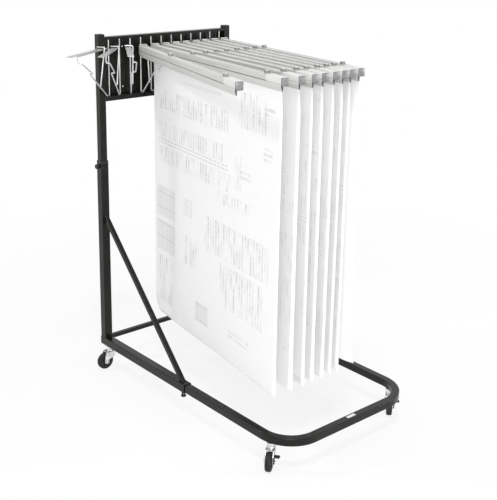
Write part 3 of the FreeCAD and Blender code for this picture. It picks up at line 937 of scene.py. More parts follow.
@dataclass
class Frame:
    """Tubes of the frame: their coat, weld runs and blank label."""

    finishes: Finishes
    post_x: float = 345.95
    tube: float = 38.1
    slim: float = 31.75
    brace: float = 19.05
    rail_top: float = 140.1
    brace_post_z: float = 722.0
    brace_rail_y: float = -600.0
    proud: float = 0.2
    foot_inset: float = 1.5
    bar_sides: Flat = (-3.4, -22.5)
    bar_levels: Flat = (-17.5, -1.5)
    panel_levels: tuple[Flat, ...] = ((1270.0, 1300.0), (1480.0, 1510.0))
    panel_sunk: float = 0.6
    bead: float = 0.0016
    bead_pitch: float = 0.0018
    label: Pattern = (-27.0, -1233.5, 17.0, -1247.5)
    label_corner: float = 1.5
    label_levels: Flat = (136.95, 137.15)
    coated: tuple[str, ...] = (
        "lower_post_left", "lower_post_right", "rear_rail_left", "rear_rail_right", "rear_cross_bar",
        "braces", "front_frame", "upper_post_left", "upper_post_right", "hanger_panel",
    )
    moulded: tuple[str, ...] = ("post_collars_and_rail_plugs", "post_caps")
    plated: tuple[str, ...] = ("rear_caster_stems", "front_caster_stems")

    def coat(self) -> None:
        """Gives each carried-over solid its finish."""
        for names, finish in (
            (self.coated, self.finishes.coat),
            (self.moulded, self.finishes.plastic),
            (self.plated, self.finishes.fork),
        ):
            for name in names:
                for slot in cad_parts[name].material_slots:
                    slot.material = finish
                LOG.info("%s is finished in %s", name, finish.name)

    def tube_welds(self) -> list[Run]:
        """Runs of the weld beads where the lower frame's tubes meet."""
        half = self.brace / 2
        lean = math.atan2(-self.brace_rail_y - self.tube, self.brace_post_z - self.rail_top)
        rise, run = half / math.sin(lean), half / math.cos(lean)
        reach = self.tube / 2 - self.foot_inset
        front = -self.tube - self.proud
        top = self.rail_top + self.proud
        corners = ((-1, -1), (-1, 1), (1, 1), (1, -1), (-1, -1))
        runs: list[Run] = []
        for side in (-1, 1):
            x = side * self.post_x
            inner = side * (self.post_x - self.tube / 2)
            runs.append([(x + a * half, front, self.brace_post_z + b * rise) for a, b in corners])
            runs.append([(x + a * half, self.brace_rail_y + b * run, top) for a, b in corners])
            runs.append([(x + a, front, top + self.proud) for a in (-reach, reach)])
            runs += [[(inner, y, self.rail_top + z) for z in self.bar_levels] for y in self.bar_sides]
        return runs

    def panel_welds(self) -> list[Run]:
        """Runs of the weld beads between the panel and the upper posts."""
        half = self.slim / 2
        y = half - self.tube / 2 - self.panel_sunk
        return [
            [(side * (self.post_x - half), y, z) for z in levels] for side in (-1, 1) for levels in self.panel_levels
        ]

    def build(self, welds: Growth) -> None:
        """Dresses the frame and adds its welds and label.

        Args:
            welds: The weld tree.
        """
        self.coat()
        for name, runs, body in (
            ("frame_welds", self.tube_welds(), "rear_frame"), ("panel_welds", self.panel_welds(), "upper_frame")
        ):
            sizes = {"bead_radius": self.bead, "pitch": self.bead_pitch}
            fit(name, welds.grown(name, path_carrier(runs), self.finishes.coat, **sizes), body, "frame_black")
        label = Draft()
        label.prism(rounded(box(*self.label), self.label_corner), *self.label_levels, to_top)
        fit("bar_label", label.mesh("bar_label", self.finishes.label), "front_frame", "frame_black")


@dataclass
class HangerRow:
    """The row of pivots and how far each hanger is swung to the left."""

    pitch: float = 55.6
    pivot_y: float = -24.0
    swings: tuple[float, ...] = (57.5, 44.0, 32.0, 16.3, 9.25, 7.95, 7.45, 7.65, 7.55, 7.95, 8.65, 9.05)
    first_clamp: int = 4
    first_sheet: int = 5

    def place(self, number: int) -> Matrix:
        """The place of a hanger, counted from 1 at the left post."""
        first = -self.pitch * (len(self.swings) - 1) / 2
        return turned_place(first + (number - 1) * self.pitch, self.pivot_y, self.swings[number - 1])

    def clamp(self, number: int) -> str:
        """The name of the clamp on a hanger."""
        return f"clamp_{number - self.first_clamp + 1:02d}"


@dataclass
class Hangers:
    """Wire hangers with their trays.

    Tray_weld is how far to either side a run lies, its length and how far below the tray it lies.
    """

    finishes: Finishes
    row: HangerRow
    wire: float = 3.0
    bend: float = 7.0
    pivot: Flat = (1254.0, 1517.7)
    arm_z: float = 1469.0
    arm_reach: float = 297.0
    drop: Flat = (292.0, 1441.0)
    jog: float = 15.0
    jog_back: Flat = (190.0, 1386.0)
    foot: Flat = (21.0, 1265.3)
    hold_reach: float = 60.0
    hold_z: float = 1479.2
    hold: Flat = (-25.0, 10.3)
    strut: Triple = (5.6, 97.5, 1320.0)
    tray: Pattern = (-22.7, 3.3, 66.0, 350.0)
    tray_z: Flat = (1471.6, 1473.6)
    tray_corner: float = 0.7
    tray_edge: float = 0.5
    bead: float = 0.0016
    bead_pitch: float = 0.0016
    weld_half: float = 1.2
    weld_sunk: float = 0.6
    strut_weld: tuple[Triple, Triple] = ((2.4, -99.5, 1320.0), (2.4, -94.5, 1322.0))
    tray_weld: Triple = (1.9, 9.0, 0.5)
    tray_reaches: Triple = (90.0, 200.0, 284.0)

    def wires(self, tree: Growth) -> Mesh:
        """Bends the hanger's three wires.

        Args:
            tree: The wire tree.

        Returns:
            Their mesh, about a pivot at the origin.
        """
        pivot = [(0, 0, z) for z in self.pivot]
        loop = [
            (0, 0, self.arm_z), (0, self.arm_reach, self.arm_z), (0, *self.drop), (self.jog, *self.drop),
            (self.jog, *self.jog_back), (0, *self.jog_back), (0, *self.foot), (0, 0, self.foot[1]),
        ]
        hold = [*((side, self.hold_reach, self.hold_z) for side in self.hold), self.strut]
        paths = [[(side, -reach, z) for side, reach, z in path] for path in (pivot, loop, hold)]
        return tree.grown(
            "hanger_wires", path_carrier(paths), self.finishes.wire,
            wire_radius=self.wire * MM, bend_radius=self.bend * MM,
        )

    def strip(self) -> Mesh:
        """The tray: a flat strip with eased edges."""
        left, right, near, far = self.tray
        low, high = self.tray_z
        draft = Draft()
        draft.prism(rounded(box(left, low, right, high), self.tray_corner, 2), near, far, to_front, self.tray_edge)
        return draft.mesh("hanger_tray", self.finishes.tray)

    def welds(self, tree: Growth) -> Mesh:
        """Short weld runs where the wires and the tray meet."""
        near = self.wire - self.weld_sunk
        levels = (self.arm_z + near, self.arm_z - near, self.foot[1] + near)
        runs: list[Run] = [[(side, -self.wire, z) for side in (-self.weld_half, self.weld_half)] for z in levels]
        runs.append(self.strut_weld)
        side, length, sunk = self.tray_weld
        for reach in self.tray_reaches:
            for x in (-side, side):
                runs.append([(x, -reach - extra, self.tray_z[0] - sunk) for extra in (0.0, length)])
        sizes = {"bead_radius": self.bead, "pitch": self.bead_pitch}
        return tree.grown("hanger_welds", path_carrier(runs), self.finishes.wire, **sizes)

    def build(self, wires: Growth, welds: Growth) -> None:
        """Makes one hanger and sets a copy on every pivot.

        Args:
            wires: The wire tree.
            welds: The weld tree.
        """
        whole = joined("hanger", [self.wires(wires), self.strip(), self.welds(welds)])
        for number in range(1, len(self.row.swings) + 1):
            name = f"hanger_{number:02d}"
            fit(name + "_wire", placed(whole, name, self.row.place(number)), name, "zinc_wire", name)


@dataclass
class Clamps:
    """Sheet clamps: extruded channel, end cap, jaw and knurled thumb screws.

    Lip is the width of its root, the right and left ends of its tip and its drop. Grooves are
    places across the top and side_grooves down the right side. Seam_edges and notch are the lips
    of the two grooves of the left side. Sections are drawn from the channel's top left corner. The
    thin strips laid on the channel are painted light: bright ones are painted highlights along the
    top's two edges, dark ones painted shade in the left seam groove and beside the top's right
    groove, and each strip's section has the number of its finish: painted highlight 0, painted
    shade 1. Socket is the radii of the knob's recess at its mouth, throat and floor, and its depth.
    Knurl is how far inside the knob the ribs stand, how much shorter they are and their radius.
    """

    finishes: Finishes
    row: HangerRow
    left: float = -25.2
    size: float = 31.0
    top: float = 1475.9
    wall: float = 2.0
    span: Flat = (52.0, 1077.0)
    lip: Pattern = (7.2, 6.4, 4.6, 18.0)
    groove: float = 0.6
    grooves: Pattern = (5.0, 10.2, 20.8, 26.0)
    side_grooves: Flat = (9.0, 22.0)
    notch: Pattern = (1.5, 1.8, 2.1, 2.4)
    seam: float = 22.5
    seam_edges: tuple[Flat, ...] = ((0.7, -1.0), (1.4, -0.9), (1.4, 0.9), (0.0, 1.0))
    # Strips of painted light: bright ones are painted highlights on the top's left and right edges, dark ones
    # painted shade in the left seam groove and beside the top's right groove.
    painted_light_strips: tuple[tuple[Section, int], ...] = (
        (((-0.25, -3.6), (3.6, 0.25), (3.6, -0.4), (0.4, -3.6)), 0),
        (((0.1, -23.3), (1.0, -23.3), (1.0, -21.7), (0.1, -21.7)), 1),
        (((26.6, -0.3), (28.0, -0.3), (28.0, 0.12), (26.6, 0.12)), 1),
        (((28.2, -0.4), (30.7, -0.4), (30.9, 0.2), (28.2, 0.2)), 0),
    )
    strip_span: Flat = (53.0, 980.0)
    sleeve: Section = (
        (-0.8, 0.8), (31.8, 0.8), (31.8, -21.5), (30.8, -21.5),
        (30.8, -0.2), (0.2, -0.2), (0.2, -21.5), (-0.8, -21.5),
    )
    sleeve_span: Flat = (979.0, 1076.6)
    cap: Section = ((0.0, 0.0), (31.0, 0.0), (31.0, -31.0), (0.0, -31.0))
    point: Section = ((0.0, -30.6), (7.2, -30.6), (6.4, -49.0), (4.6, -49.0), (0.0, -33.0))
    cap_levels: tuple[Flat, ...] = ((1077.0, 1.0), (1078.1, 1.0), (1079.0, 0.93))
    jaw: Section = ((10.0, -40.0), (12.0, -40.0), (12.0, -16.5), (20.0, -16.5), (20.0, -14.5), (10.0, -14.5))
    jaw_span: Flat = (64.0, 1065.0)
    screw: float = 2.5
    screw_tip: Flat = (16.0, -21.5)
    knob: Flat = (9.6, 11.0)
    knob_reaches: Flat = (404.6, 960.15)
    knob_edge: Flat = (1.2, 1.0)
    socket: Pattern = (4.2, 3.9, 3.7, 5.0)
    knurl: Triple = (0.15, 2.4, 0.55)
    knurls: int = 34
    gap: float = 0.3
    sharp: float = 25.0

    def section(self, outline: Section, radius: float = 0.0, steps: int = 2) -> list[Flat]:
        """Carries an outline to the channel's corner and rounds its own corners."""
        moved = [(self.left + x, self.top + z) for x, z in outline]
        return rounded(moved, radius, steps) if radius else moved

    def channel_outline(self) -> list[Flat]:
        """The channel's section with its lip and fine lengthwise grooves."""
        left, top, wall, cut = self.left, self.top, self.wall, self.groove
        right, bottom = left + self.size, top - self.size
        root, tip_right, tip_left, drop = self.lip
        outline: list[Flat] = [(left, top)]
        for x in (left + place for place in self.grooves):
            outline += [(x - cut, top), (x - cut / 2, top - cut), (x + cut / 2, top - cut), (x + cut, top)]
        outline += [(right, top)]
        for z in (top - place for place in self.side_grooves):
            outline += [(right, z), (right - cut, z - cut / 2), (right - cut, z - cut), (right, z - 1.5 * cut)]
        outline += [
            (right, bottom), (right - wall, bottom), (right - wall, top - wall), (left + wall, top - wall),
            (left + wall, bottom + 2 * wall), (left + root, bottom + 2 * wall), (left + root, bottom),
            (left + tip_right, bottom - drop), (left + tip_left, bottom - drop), (left, bottom - wall),
        ]
        outline += [(left + deep, bottom + up) for deep, up in zip((0, cut, cut, 0), self.notch)]
        return outline + [(left + deep, top - self.seam + up) for deep, up in self.seam_edges]

    def shell(self) -> Mesh:
        """The channel, its strips of painted highlight and painted shade, bright sleeve and end cap."""
        finishes = self.finishes
        channel, trim, cover = Draft(), Draft(), Draft()
        channel.prism(rounded(self.channel_outline(), 0.5, 1), *self.span, to_front)
        trim.prism(self.section(self.sleeve, 0.6), *self.sleeve_span, to_front)
        # Lays the strips of painted highlight and painted shade along the channel.
        for outline, finish in self.painted_light_strips:
            trim.prism(self.section(outline), *self.strip_span, to_front, finish=finish)
        for outline, numbers in (
            (self.section(self.cap, 1.2, 3), (1, 1, 0)), (self.section(self.point, 0.6), (1, 1, 1))
        ):
            levels = [[to_front(x, z, reach) for x, z in shrunk(outline, share)] for reach, share in self.cap_levels]
            cover.loft(levels, numbers)
        return joined("clamp_shell", [
            channel.mesh("clamp_channel", finishes.aluminium, sharp=self.sharp),
            trim.mesh("clamp_trim", finishes.sleeve, finishes.knurl, sharp=self.sharp),
            cover.mesh("clamp_cap", finishes.cap, finishes.knurl),
        ])

    def jaw_bar(self) -> Mesh:
        """The jaw inside the channel."""
        draft = Draft()
        draft.prism(self.section(self.jaw, 0.5, 1), *self.jaw_span, to_front)
        return draft.mesh("clamp_jaw", self.finishes.aluminium)

    def thumb_screw(self, reach: float, ribs: Growth) -> Mesh:
        """A thumb screw with its knurled knob.

        Args:
            reach: Its distance from the pivot.
            ribs: The rib tree.

        Returns:
            Its mesh.
        """
        radius, height = self.knob
        (x, tip), = self.section((self.screw_tip,))
        base = self.top + self.gap
        crown = base + height
        inset, rise = self.knob_edge
        mouth, throat, floor, deep = self.socket
        core = Draft()
        core.turned(
            [
                (0, tip), (self.screw, tip), (self.screw, base), (radius - inset, base), (radius, base + rise),
                (radius, crown - rise), (radius - inset, crown), (mouth, crown), (throat, crown - 0.4),
                (floor, crown - deep), (0, crown - deep),
            ],
            lambda a, b, z: Vector((x + a, b - reach, z)), 28,
        )
        body = core.mesh("knob_core", self.finishes.aluminium)
        inset, short, rib = self.knurl
        grown = ribs.grown(
            "knob", stand("ring", bpy.data.meshes.new("ring")), self.finishes.knurl,
            radius=(radius - inset) * MM, height=(height - short) * MM, rib_radius=rib * MM, ribs=self.knurls,
        )
        grown.transform(Matrix.Translation(Vector((x, -reach, base + height / 2)) * MM))
        return joined("thumb_screw", [body, grown])

    def build(self, ribs: Growth) -> None:
        """Makes one clamp and sets a copy on every hanger that has one.

        Args:
            ribs: The rib tree.
        """
        shell, jaw = self.shell(), self.jaw_bar()
        screws = [self.thumb_screw(reach, ribs) for reach in self.knob_reaches]
        whole = joined("whole_clamp", [shell, jaw, *screws])
        for number in range(self.row.first_clamp, len(self.row.swings) + 1):
            place, body, name = self.row.place(number), f"hanger_{number:02d}", self.row.clamp(number)
            apart = number < self.row.first_sheet
            mesh = placed(shell if apart else whole, name, place)
            fit(name + "_extrusion", mesh, body, "clamp_aluminium", name)
            if apart:
                for ending, moving in zip(("_jaw", "_screw_rear", "_screw_front"), (jaw, *screws)):
                    part = name + ending
                    fit(part + "_turned", placed(moving, part, place), part, "clamp_aluminium", part)


@dataclass
class Curl:
    """How one set of sheets hangs: its curls and waves, in millimetres and degrees.

    Corner is how far back from the front edge the last leaf's lower corner turns away, how far to
    the side it goes and how far it sags.
    """

    front: float = 14.0
    front_angle: float = 60.0
    flare: float = 0.6
    rear: float = 0.0
    rear_angle: float = 0.0
    corner: Triple = (0.0, 0.0, 0.0)
    lift: float = 0.0
    wave: float = 2.0
    phase: float = 0.0
    drift: Flat = (0.0, 0.0)


@dataclass
class Sheets:
    """Sets of hanging sheets, each a few leaves that part at the front and bottom edges.

    Rows and columns are legs of even steps over the leaf's length and width. Ramps are shares of
    the length: where each effect starts, and the span over which it grows to its full size.
    """

    finishes: Finishes
    row: HangerRow
    width: float = 1007.0
    length: float = 1217.9
    start: float = 64.0
    top: float = 1456.9
    middle: float = -16.55
    leaf: float = 0.35
    leaf_pitch: float = 0.62
    leaves: int = 3
    held: float = 20.0
    easing: float = 110.0
    splay: float = 5.0
    splay_least: Flat = (0.35, 0.2)
    short: float = 7.0
    turn_least: float = 0.8
    bottom_ramp: Flat = (0.88, 0.12)
    bottom_power: float = 1.3
    bottom_splay: float = 3.0
    rear_ramp: Flat = (0.925, 0.0635)
    rear_gain: float = 0.1
    ripple: Flat = (1.6, 0.25)
    swell: Flat = (1.5, 2.2)
    rows: tuple[Leg, ...] = ((0.88, 32), (1.0, 16))
    columns: tuple[Leg, ...] = ((0.10, 10), (0.90, 16), (0.96, 8), (1.0, 16))
    feel: float = 0.002
    off_print: float = 5.0
    sharp: float = 60.0
    curls: tuple[Curl, ...] = (
        Curl(front=5, front_angle=66, flare=0.6, rear=45, rear_angle=30, wave=1.6, phase=0.4),
        Curl(front=7, front_angle=64, flare=1.2, wave=2.2, phase=1.3, drift=(-0.30, 0.05)),
        Curl(front=5, front_angle=60, flare=0.9, wave=2.8, phase=2.2, drift=(-0.52, -0.14)),
        Curl(front=5, front_angle=66, flare=1.1, wave=3.2, phase=3.4, drift=(-0.21, 0.12)),
        Curl(front=6, front_angle=60, flare=1.0, wave=2.4, phase=4.1, drift=(-0.43, -0.30)),
        Curl(front=5, front_angle=64, flare=0.8, wave=2.6, phase=5.0, drift=(-0.26, 0.22)),
        Curl(front=5, front_angle=60, flare=0.8, wave=2.8, phase=0.9, drift=(-0.88, -0.05)),
        Curl(front=56, front_angle=38, flare=0.1, corner=(90, 30, 22), lift=26, phase=2.8, drift=(-0.12, 1.4)),
    )

    @staticmethod
    def bend(distance: float, spread: float, angle: float) -> Flat:
        """Carries a point round an arc.

        Args:
            distance: How far past the arc's start it is, along the leaf.
            spread: The arc's length; past it the leaf runs on straight.
            angle: The arc's angle in radians.

        Returns:
            Distance along the first direction and distance to the side.
        """
        if distance <= 0 or angle < 1e-4:
            return distance, 0.0
        radius = spread / angle
        turn = min(distance, spread) / radius
        rest = max(distance - spread, 0.0)
        return (
            radius * math.sin(turn) + rest * math.cos(turn),
            radius * (1 - math.cos(turn)) + rest * math.sin(turn),
        )

    def tall(self, curl: Curl, leaf: int) -> float:
        """A leaf's own length: the last leaf is the longest of its set."""
        return self.length - self.short * (self.leaves - 1 - leaf) - curl.lift

    def point(self, curl: Curl, leaf: int, u: float, v: float) -> Vector:
        """A point of one leaf's middle surface.

        Args:
            curl: How the set hangs.
            leaf: Number of the leaf, from 0 on the left.
            u: Share of the width, from the rear edge.
            v: Share of the length, from the top edge.

        Returns:
            The point, about a pivot at the origin.
        """
        along, down = u * self.width, v * self.length
        loose = ramped(down, self.held, self.easing)
        loose = loose * loose * (3 - 2 * loose)
        spread = curl.front * (1 + curl.flare * leaf)
        edge = self.width - spread
        reach, side, sag = along, 0.0, 0.0
        if along > edge:
            angle = math.radians(curl.front_angle) * loose * (self.turn_least + (1 - self.turn_least) * v)
            ahead, side = self.bend(along - edge, spread, angle)
            reach = edge + ahead
        low = ramped(v, *self.bottom_ramp) ** self.bottom_power
        back, out, sagging = curl.corner
        if back and along > self.width - back:
            share = ((along - self.width) / back + 1) ** 2 * low * leaf / (self.leaves - 1)
            side += out * share
            sag = sagging * share
        if curl.rear and along < curl.rear:
            lowest = ramped(v, *self.rear_ramp) ** 2
            angle = math.radians(curl.rear_angle) * lowest * (1 + self.rear_gain * leaf)
            behind, turned = self.bend(curl.rear - along, curl.rear, angle)
            reach = curl.rear - behind
            side += turned
        wave = curl.wave * v * math.sin(2 * math.pi * (u * self.ripple[0] + self.ripple[1] * v) + curl.phase)
        swell = self.swell[0] * math.sin(math.pi * u) * math.sin(self.swell[1] * v + curl.phase)
        high_least, rear_least = self.splay_least
        fan = (high_least + (1 - high_least) * v**2) * (rear_least + (1 - rear_least) * u**6)
        apart = (leaf - (self.leaves - 1) / 2) * self.leaf_pitch
        apart *= 1 + self.splay * loose * fan + self.bottom_splay * low
        return Vector((
            self.middle + apart + side + (wave + swell) * loose, -(self.start + reach), self.top - down - sag
        ))

    def leaf_mesh(self, name: str, curl: Curl, leaf: int, finish: Material) -> Mesh:
        """One leaf as a thin closed shell with its own map in metres.

        Args:
            name: The mesh's name.
            curl: How the set hangs.
            leaf: Number of the leaf.
            finish: Its paper.

        Returns:
            The mesh, about a pivot at the origin.
        """
        draft = Draft()
        shares = stepped(self.columns)
        levels = [level * self.tall(curl, leaf) / self.length for level in stepped(self.rows)]
        grids = []
        for side in (-1, 1):
            blank = 0.0 if side < 0 and leaf == 0 else self.off_print
            grid = []
            for v in levels:
                line = []
                for u in shares:
                    ahead = self.point(curl, leaf, min(u + self.feel, 1.0), v)
                    way = ahead - self.point(curl, leaf, max(u - self.feel, 0.0), v)
                    normal = Vector((-way.y, way.x, 0.0)).normalized()
                    line.append(self.point(curl, leaf, u, v) + normal * side * self.leaf / 2)
                grid.append(draft.ring(line))
                for number, u in zip(grid[-1], shares):
                    down = v * self.length * MM + curl.drift[1]
                    draft.marks[number] = (u * self.width * MM + curl.drift[0] + blank, down)
            grids.append(grid)
        left, right = grids
        for grid in grids:
            for low, high in zip(grid, grid[1:]):
                draft.bridge(low, high, closed=False)
        for i in range(len(levels) - 1):
            for edge in (0, -1):
                draft.face((left[i][edge], left[i + 1][edge], right[i + 1][edge], right[i][edge]))
        for row in (0, -1):
            draft.bridge(left[row], right[row], closed=False)
        return draft.mesh(name, finish, sharp=self.sharp)

    def build(self) -> None:
        """Hangs every set from its clamp."""
        for index, curl in enumerate(self.curls):
            number = self.row.first_sheet + index
            holder = self.row.clamp(number) + "_extrusion"
            paper = self.finishes.faint if index else self.finishes.paper
            for leaf in range(self.leaves):
                node = f"sheets_{index + 1:02d}"
                name = f"{node}_leaf_{leaf + 1}"
                mesh = self.leaf_mesh(name, curl, leaf, paper)
                mesh.transform(self.row.place(number))
                piece = fit(name, mesh, f"hanger_{number:02d}", "white_paper", *(() if leaf else (node,)))


@dataclass
class Casters:
    """Swivel casters: pressed fork, raceway, axle, wheel and brake pedal.

    Cup is the raceway's section, as radius and height. Plate_front and plate_back are corners of
    the fork's side, measured from its two shoulders and its top. Profile is half the wheel's, from
    the bore to the middle of the tread, as radius and distance inside the face. Spoke's corners
    are distances along and across it from the axle.
    """

    finishes: Finishes
    rear: Flat = (345.95, -52.0)
    front: Flat = (340.45, -1145.0)
    turns: dict[str, float] = field(
        default_factory=lambda: {"rear_left": 90.0, "rear_right": 74.0, "front_left": 54.0, "front_right": 48.0}
    )
    wheel: Flat = (38.1, 24.0)
    trail: float = 33.0
    fork_gap: float = 27.0
    sheet: float = 3.0
    fork_top: float = 84.0
    cup: Section = ((5.1, 82.0), (15.5, 83.5), (18.0, 85.2), (17.4, 88.0), (15.0, 90.4), (14.0, 92.0), (5.1, 92.0))
    shoulder: Flat = (18.0, -33.0)
    plate_front: Section = ((0.0, 0.0), (-0.5, -10.0), (-10.0, -29.0))
    plate_back: Section = ((-9.5, -24.0), (-1.5, -5.0), (0.0, 0.0))
    eye: float = 11.5
    ribs: Flat = (11.0, 12.0)
    rib: Section = ((0.0, 62.0), (3.2, 62.0), (3.6, 81.5), (-0.4, 81.5))
    axle: Triple = (4.0, 3.0, 0.8)
    nut: Flat = (7.0, 5.0)
    nut_gap: float = 0.6
    profile: Section = (
        (4.1, 0.0), (10.5, 0.0), (11.0, 0.5), (11.3, 5.0), (24.0, 5.0), (24.6, 0.8), (26.0, 0.2), (31.0, 0.2),
        (34.5, 1.0), (37.0, 3.2), (38.1, 6.5), (38.1, 10.4), (37.3, 11.1),
    )
    hub_spans: int = 6
    spoke: Section = ((10.8, 1.3), (24.2, 1.0), (24.2, -1.0), (10.8, -1.3))
    spoke_depths: Flat = (5.4, 1.6)
    pedal: Pattern = (9.0, 24.0, 24.0, 20.0)
    pedal_gap: float = 0.3
    ridges: Triple = (5.0, 4.6, 1.8)
    ridge_inset: float = 3.0

    def round_axle(self, across: float, up: float, x: float) -> Vector:
        """Puts a point round the axle at a distance to the right."""
        return Vector((x, across - self.trail, up + self.wheel[0]))

    def plate_outline(self) -> list[Flat]:
        """One side of the fork, seen from the side: a teardrop down to the axle."""
        front, back = self.shoulder
        return [
            *((front + y, self.fork_top + z) for y, z in self.plate_front),
            *arc((-self.trail, self.wheel[0]), self.eye, 35, -250, 8),
            *((back + y, self.fork_top + z) for y, z in self.plate_back),
        ]

    def fork_mesh(self) -> Mesh:
        """Fork, raceway cup, axle and nuts."""
        draft = Draft()
        half = self.fork_gap / 2
        wide = half + self.sheet
        front, back = self.shoulder
        first, pitch = self.ribs
        plate = rounded(self.plate_outline(), 3.0)
        for side in (-1, 1):
            draft.prism(plate, *sorted((side * half, side * wide)), to_side, 0.6)
            for y in (back + first + pitch * step for step in range(3)):
                rib = rounded([(y + out, z) for out, z in self.rib], 1.2, 2)
                draft.prism(rib, *sorted((side * (wide - 1.0), side * (wide + 0.9))), to_side, 0.4)
        bridge = rounded(box(-wide, back, wide, front), 4.0)
        draft.prism(bridge, self.fork_top - self.sheet, self.fork_top, to_top, 0.6)
        draft.turned(self.cup, to_top, 36)
        radius, short, ease = self.axle
        thick = self.nut[1]
        reach = wide + thick + self.sheet + self.nut_gap
        near = short - reach
        draft.turned(
            [
                (0, near), (radius - ease, near), (radius, near + ease), (radius, reach - ease),
                (radius - ease, reach), (0, reach),
            ],
            self.round_axle, 20,
        )
        hexagon = rounded(arc((-self.trail, self.wheel[0]), self.nut[0], 12, 300, 5), 0.5, 1)
        for low in (-wide - thick, wide + self.sheet + self.nut_gap):
            draft.prism(hexagon, low, low + thick, to_side, 0.7)
        return draft.mesh("caster_fork", self.finishes.fork)

    def wheel_mesh(self) -> Mesh:
        """Wheel with a rubber tread on a moulded hub with spokes."""
        draft = Draft()
        radius, width = self.wheel
        half = width / 2
        profile = [(r, deep - half) for r, deep in self.profile]
        profile += [(r, half - deep) for r, deep in reversed(self.profile)]
        tread = range(self.hub_spans, len(profile) - 1 - self.hub_spans)
        draft.turned(profile, self.round_axle, 48, [int(i in tread) for i in range(len(profile))])
        for side in (-1, 1):
            for angle in (math.radians(60 * k) for k in range(6)):
                turn = Matrix.Rotation(angle, 2)
                spoke = [turn @ Vector(corner) for corner in self.spoke]
                ends = sorted(side * (half - deep) for deep in self.spoke_depths)
                draft.prism([(c.x - self.trail, c.y + radius) for c in spoke], *ends, to_side)
        return draft.mesh("caster_wheel", self.finishes.plastic, self.finishes.rubber)

    def pedal_mesh(self) -> Mesh:
        """Brake pedal: an eye on the axle, an arm and a ridged pad."""
        draft = Draft()
        hub, rise, reach, width = self.pedal
        x = self.fork_gap / 2 + self.sheet + self.pedal_gap
        axle, trail = self.wheel[0], self.trail
        half, low = hub * 0.8, axle + rise
        arm = arc((-trail, axle), hub, 180, 180, 8) + [(half - trail, low), (-half - trail, low)]
        draft.prism(rounded(arm, 1.5, 2), x, x + self.sheet, to_side, 0.4)
        pad = box(x, -trail - width / 2, x + reach, width / 2 - trail)
        draft.prism(rounded(pad, 3.5, 4), low, low + self.sheet, to_top, 0.7)
        first, pitch, thick = self.ridges
        side = width / 2 - self.ridge_inset
        for start in (x + first + pitch * step for step in range(4)):
            ridge = rounded(box(start, -trail - side, start + thick, side - trail), 0.8, 2)
            draft.prism(ridge, low + self.sheet - 0.6, low + self.sheet + 0.9, to_top, 0.4)
        return draft.mesh("brake_pedal", self.finishes.plastic)

    def build(self) -> None:
        """Sets a caster at every corner, with a pedal on the front two."""
        fork, wheel, pedal = self.fork_mesh(), self.wheel_mesh(), self.pedal_mesh()
        for corner, turn in self.turns.items():
            end, side = corner.split("_")
            x, y = self.rear if end == "rear" else self.front
            place = turned_place(x if side == "right" else -x, y, turn)
            parts = [(f"fork_{corner}", "_pressed", fork, "zinc_fork")]
            parts.append((f"wheel_{corner}", "_tread", wheel, "black_rubber"))
            if end == "front":
                parts.append((f"pedal_{side}", "_moulded", pedal, "black_plastic"))
            for node, ending, mesh, slot in parts:
                fit(node + ending, placed(mesh, node, place), node, slot, node)


@dataclass
class ThumbKnobs:
    """Fluted knobs that lock the height and depth slides, each with its tip and its shank's reach."""

    finishes: Finishes
    radius: float = 10.2
    height: float = 10.0
    shank: float = 4.0
    flutes: int = 12
    flute: float = 0.9
    flute_inset: float = 0.2
    flute_short: float = 3.6
    flute_drop: float = 0.4
    knobs: tuple[tuple[str, Triple, float], ...] = (
        ("height", (-362.125, -19.05, 955.0), 8.875),
        ("depth", (-345.95, -605.0, 104.875), 21.875),
    )

    def knob_mesh(self, reach: float, ribs: Growth) -> Mesh:
        """A knob below its shank, with the shank's tip at the origin.

        Args:
            reach: Length of the shank above the knob.
            ribs: The rib tree.

        Returns:
            Its mesh.
        """
        draft = Draft()
        radius, shank = self.radius, self.shank
        high, low = -reach, -reach - self.height
        draft.turned(
            [
                (0, 0), (shank - 0.6, 0), (shank, -0.6), (shank, high), (radius * 0.62, high),
                (radius - 0.8, high - 1.2), (radius, high - 2.4), (radius, low + 1.6), (radius - 1.4, low),
                (radius * 0.55, low), (radius * 0.45, low + 1.0), (0, low + 1.0),
            ],
            to_top, 32, (1, 1, 1, 0),
        )
        mesh = draft.mesh("knob", self.finishes.plastic, self.finishes.fork)
        grown = ribs.grown(
            "flutes", stand("ring", bpy.data.meshes.new("ring")), self.finishes.plastic, ribs=self.flutes,
            radius=(radius - self.flute_inset) * MM, height=(self.height - self.flute_short) * MM,
            rib_radius=self.flute * MM,
        )
        grown.transform(Matrix.Translation((0, 0, ((high + low) / 2 - self.flute_drop) * MM)))
        return joined("fluted_knob", [mesh, grown])

    def build(self, ribs: Growth) -> None:
        """Sets the four knobs.

        Args:
            ribs: The rib tree.
        """
        for kind, (x, y, z), reach in self.knobs:
            knob = self.knob_mesh(reach, ribs)
            for side, sign in (("left", 1), ("right", -1)):
                place = Matrix.Translation(Vector((sign * x, y, z)) * MM)
                if kind == "height":
                    place = place @ Matrix.Rotation(math.radians(90 * sign), 4, "Y")
                name = f"{kind}_knob_{side}"
                fit(name + "_fluted", placed(knob, name, place), name, "black_plastic", name)


# ---------------------------------------------------------------- stage


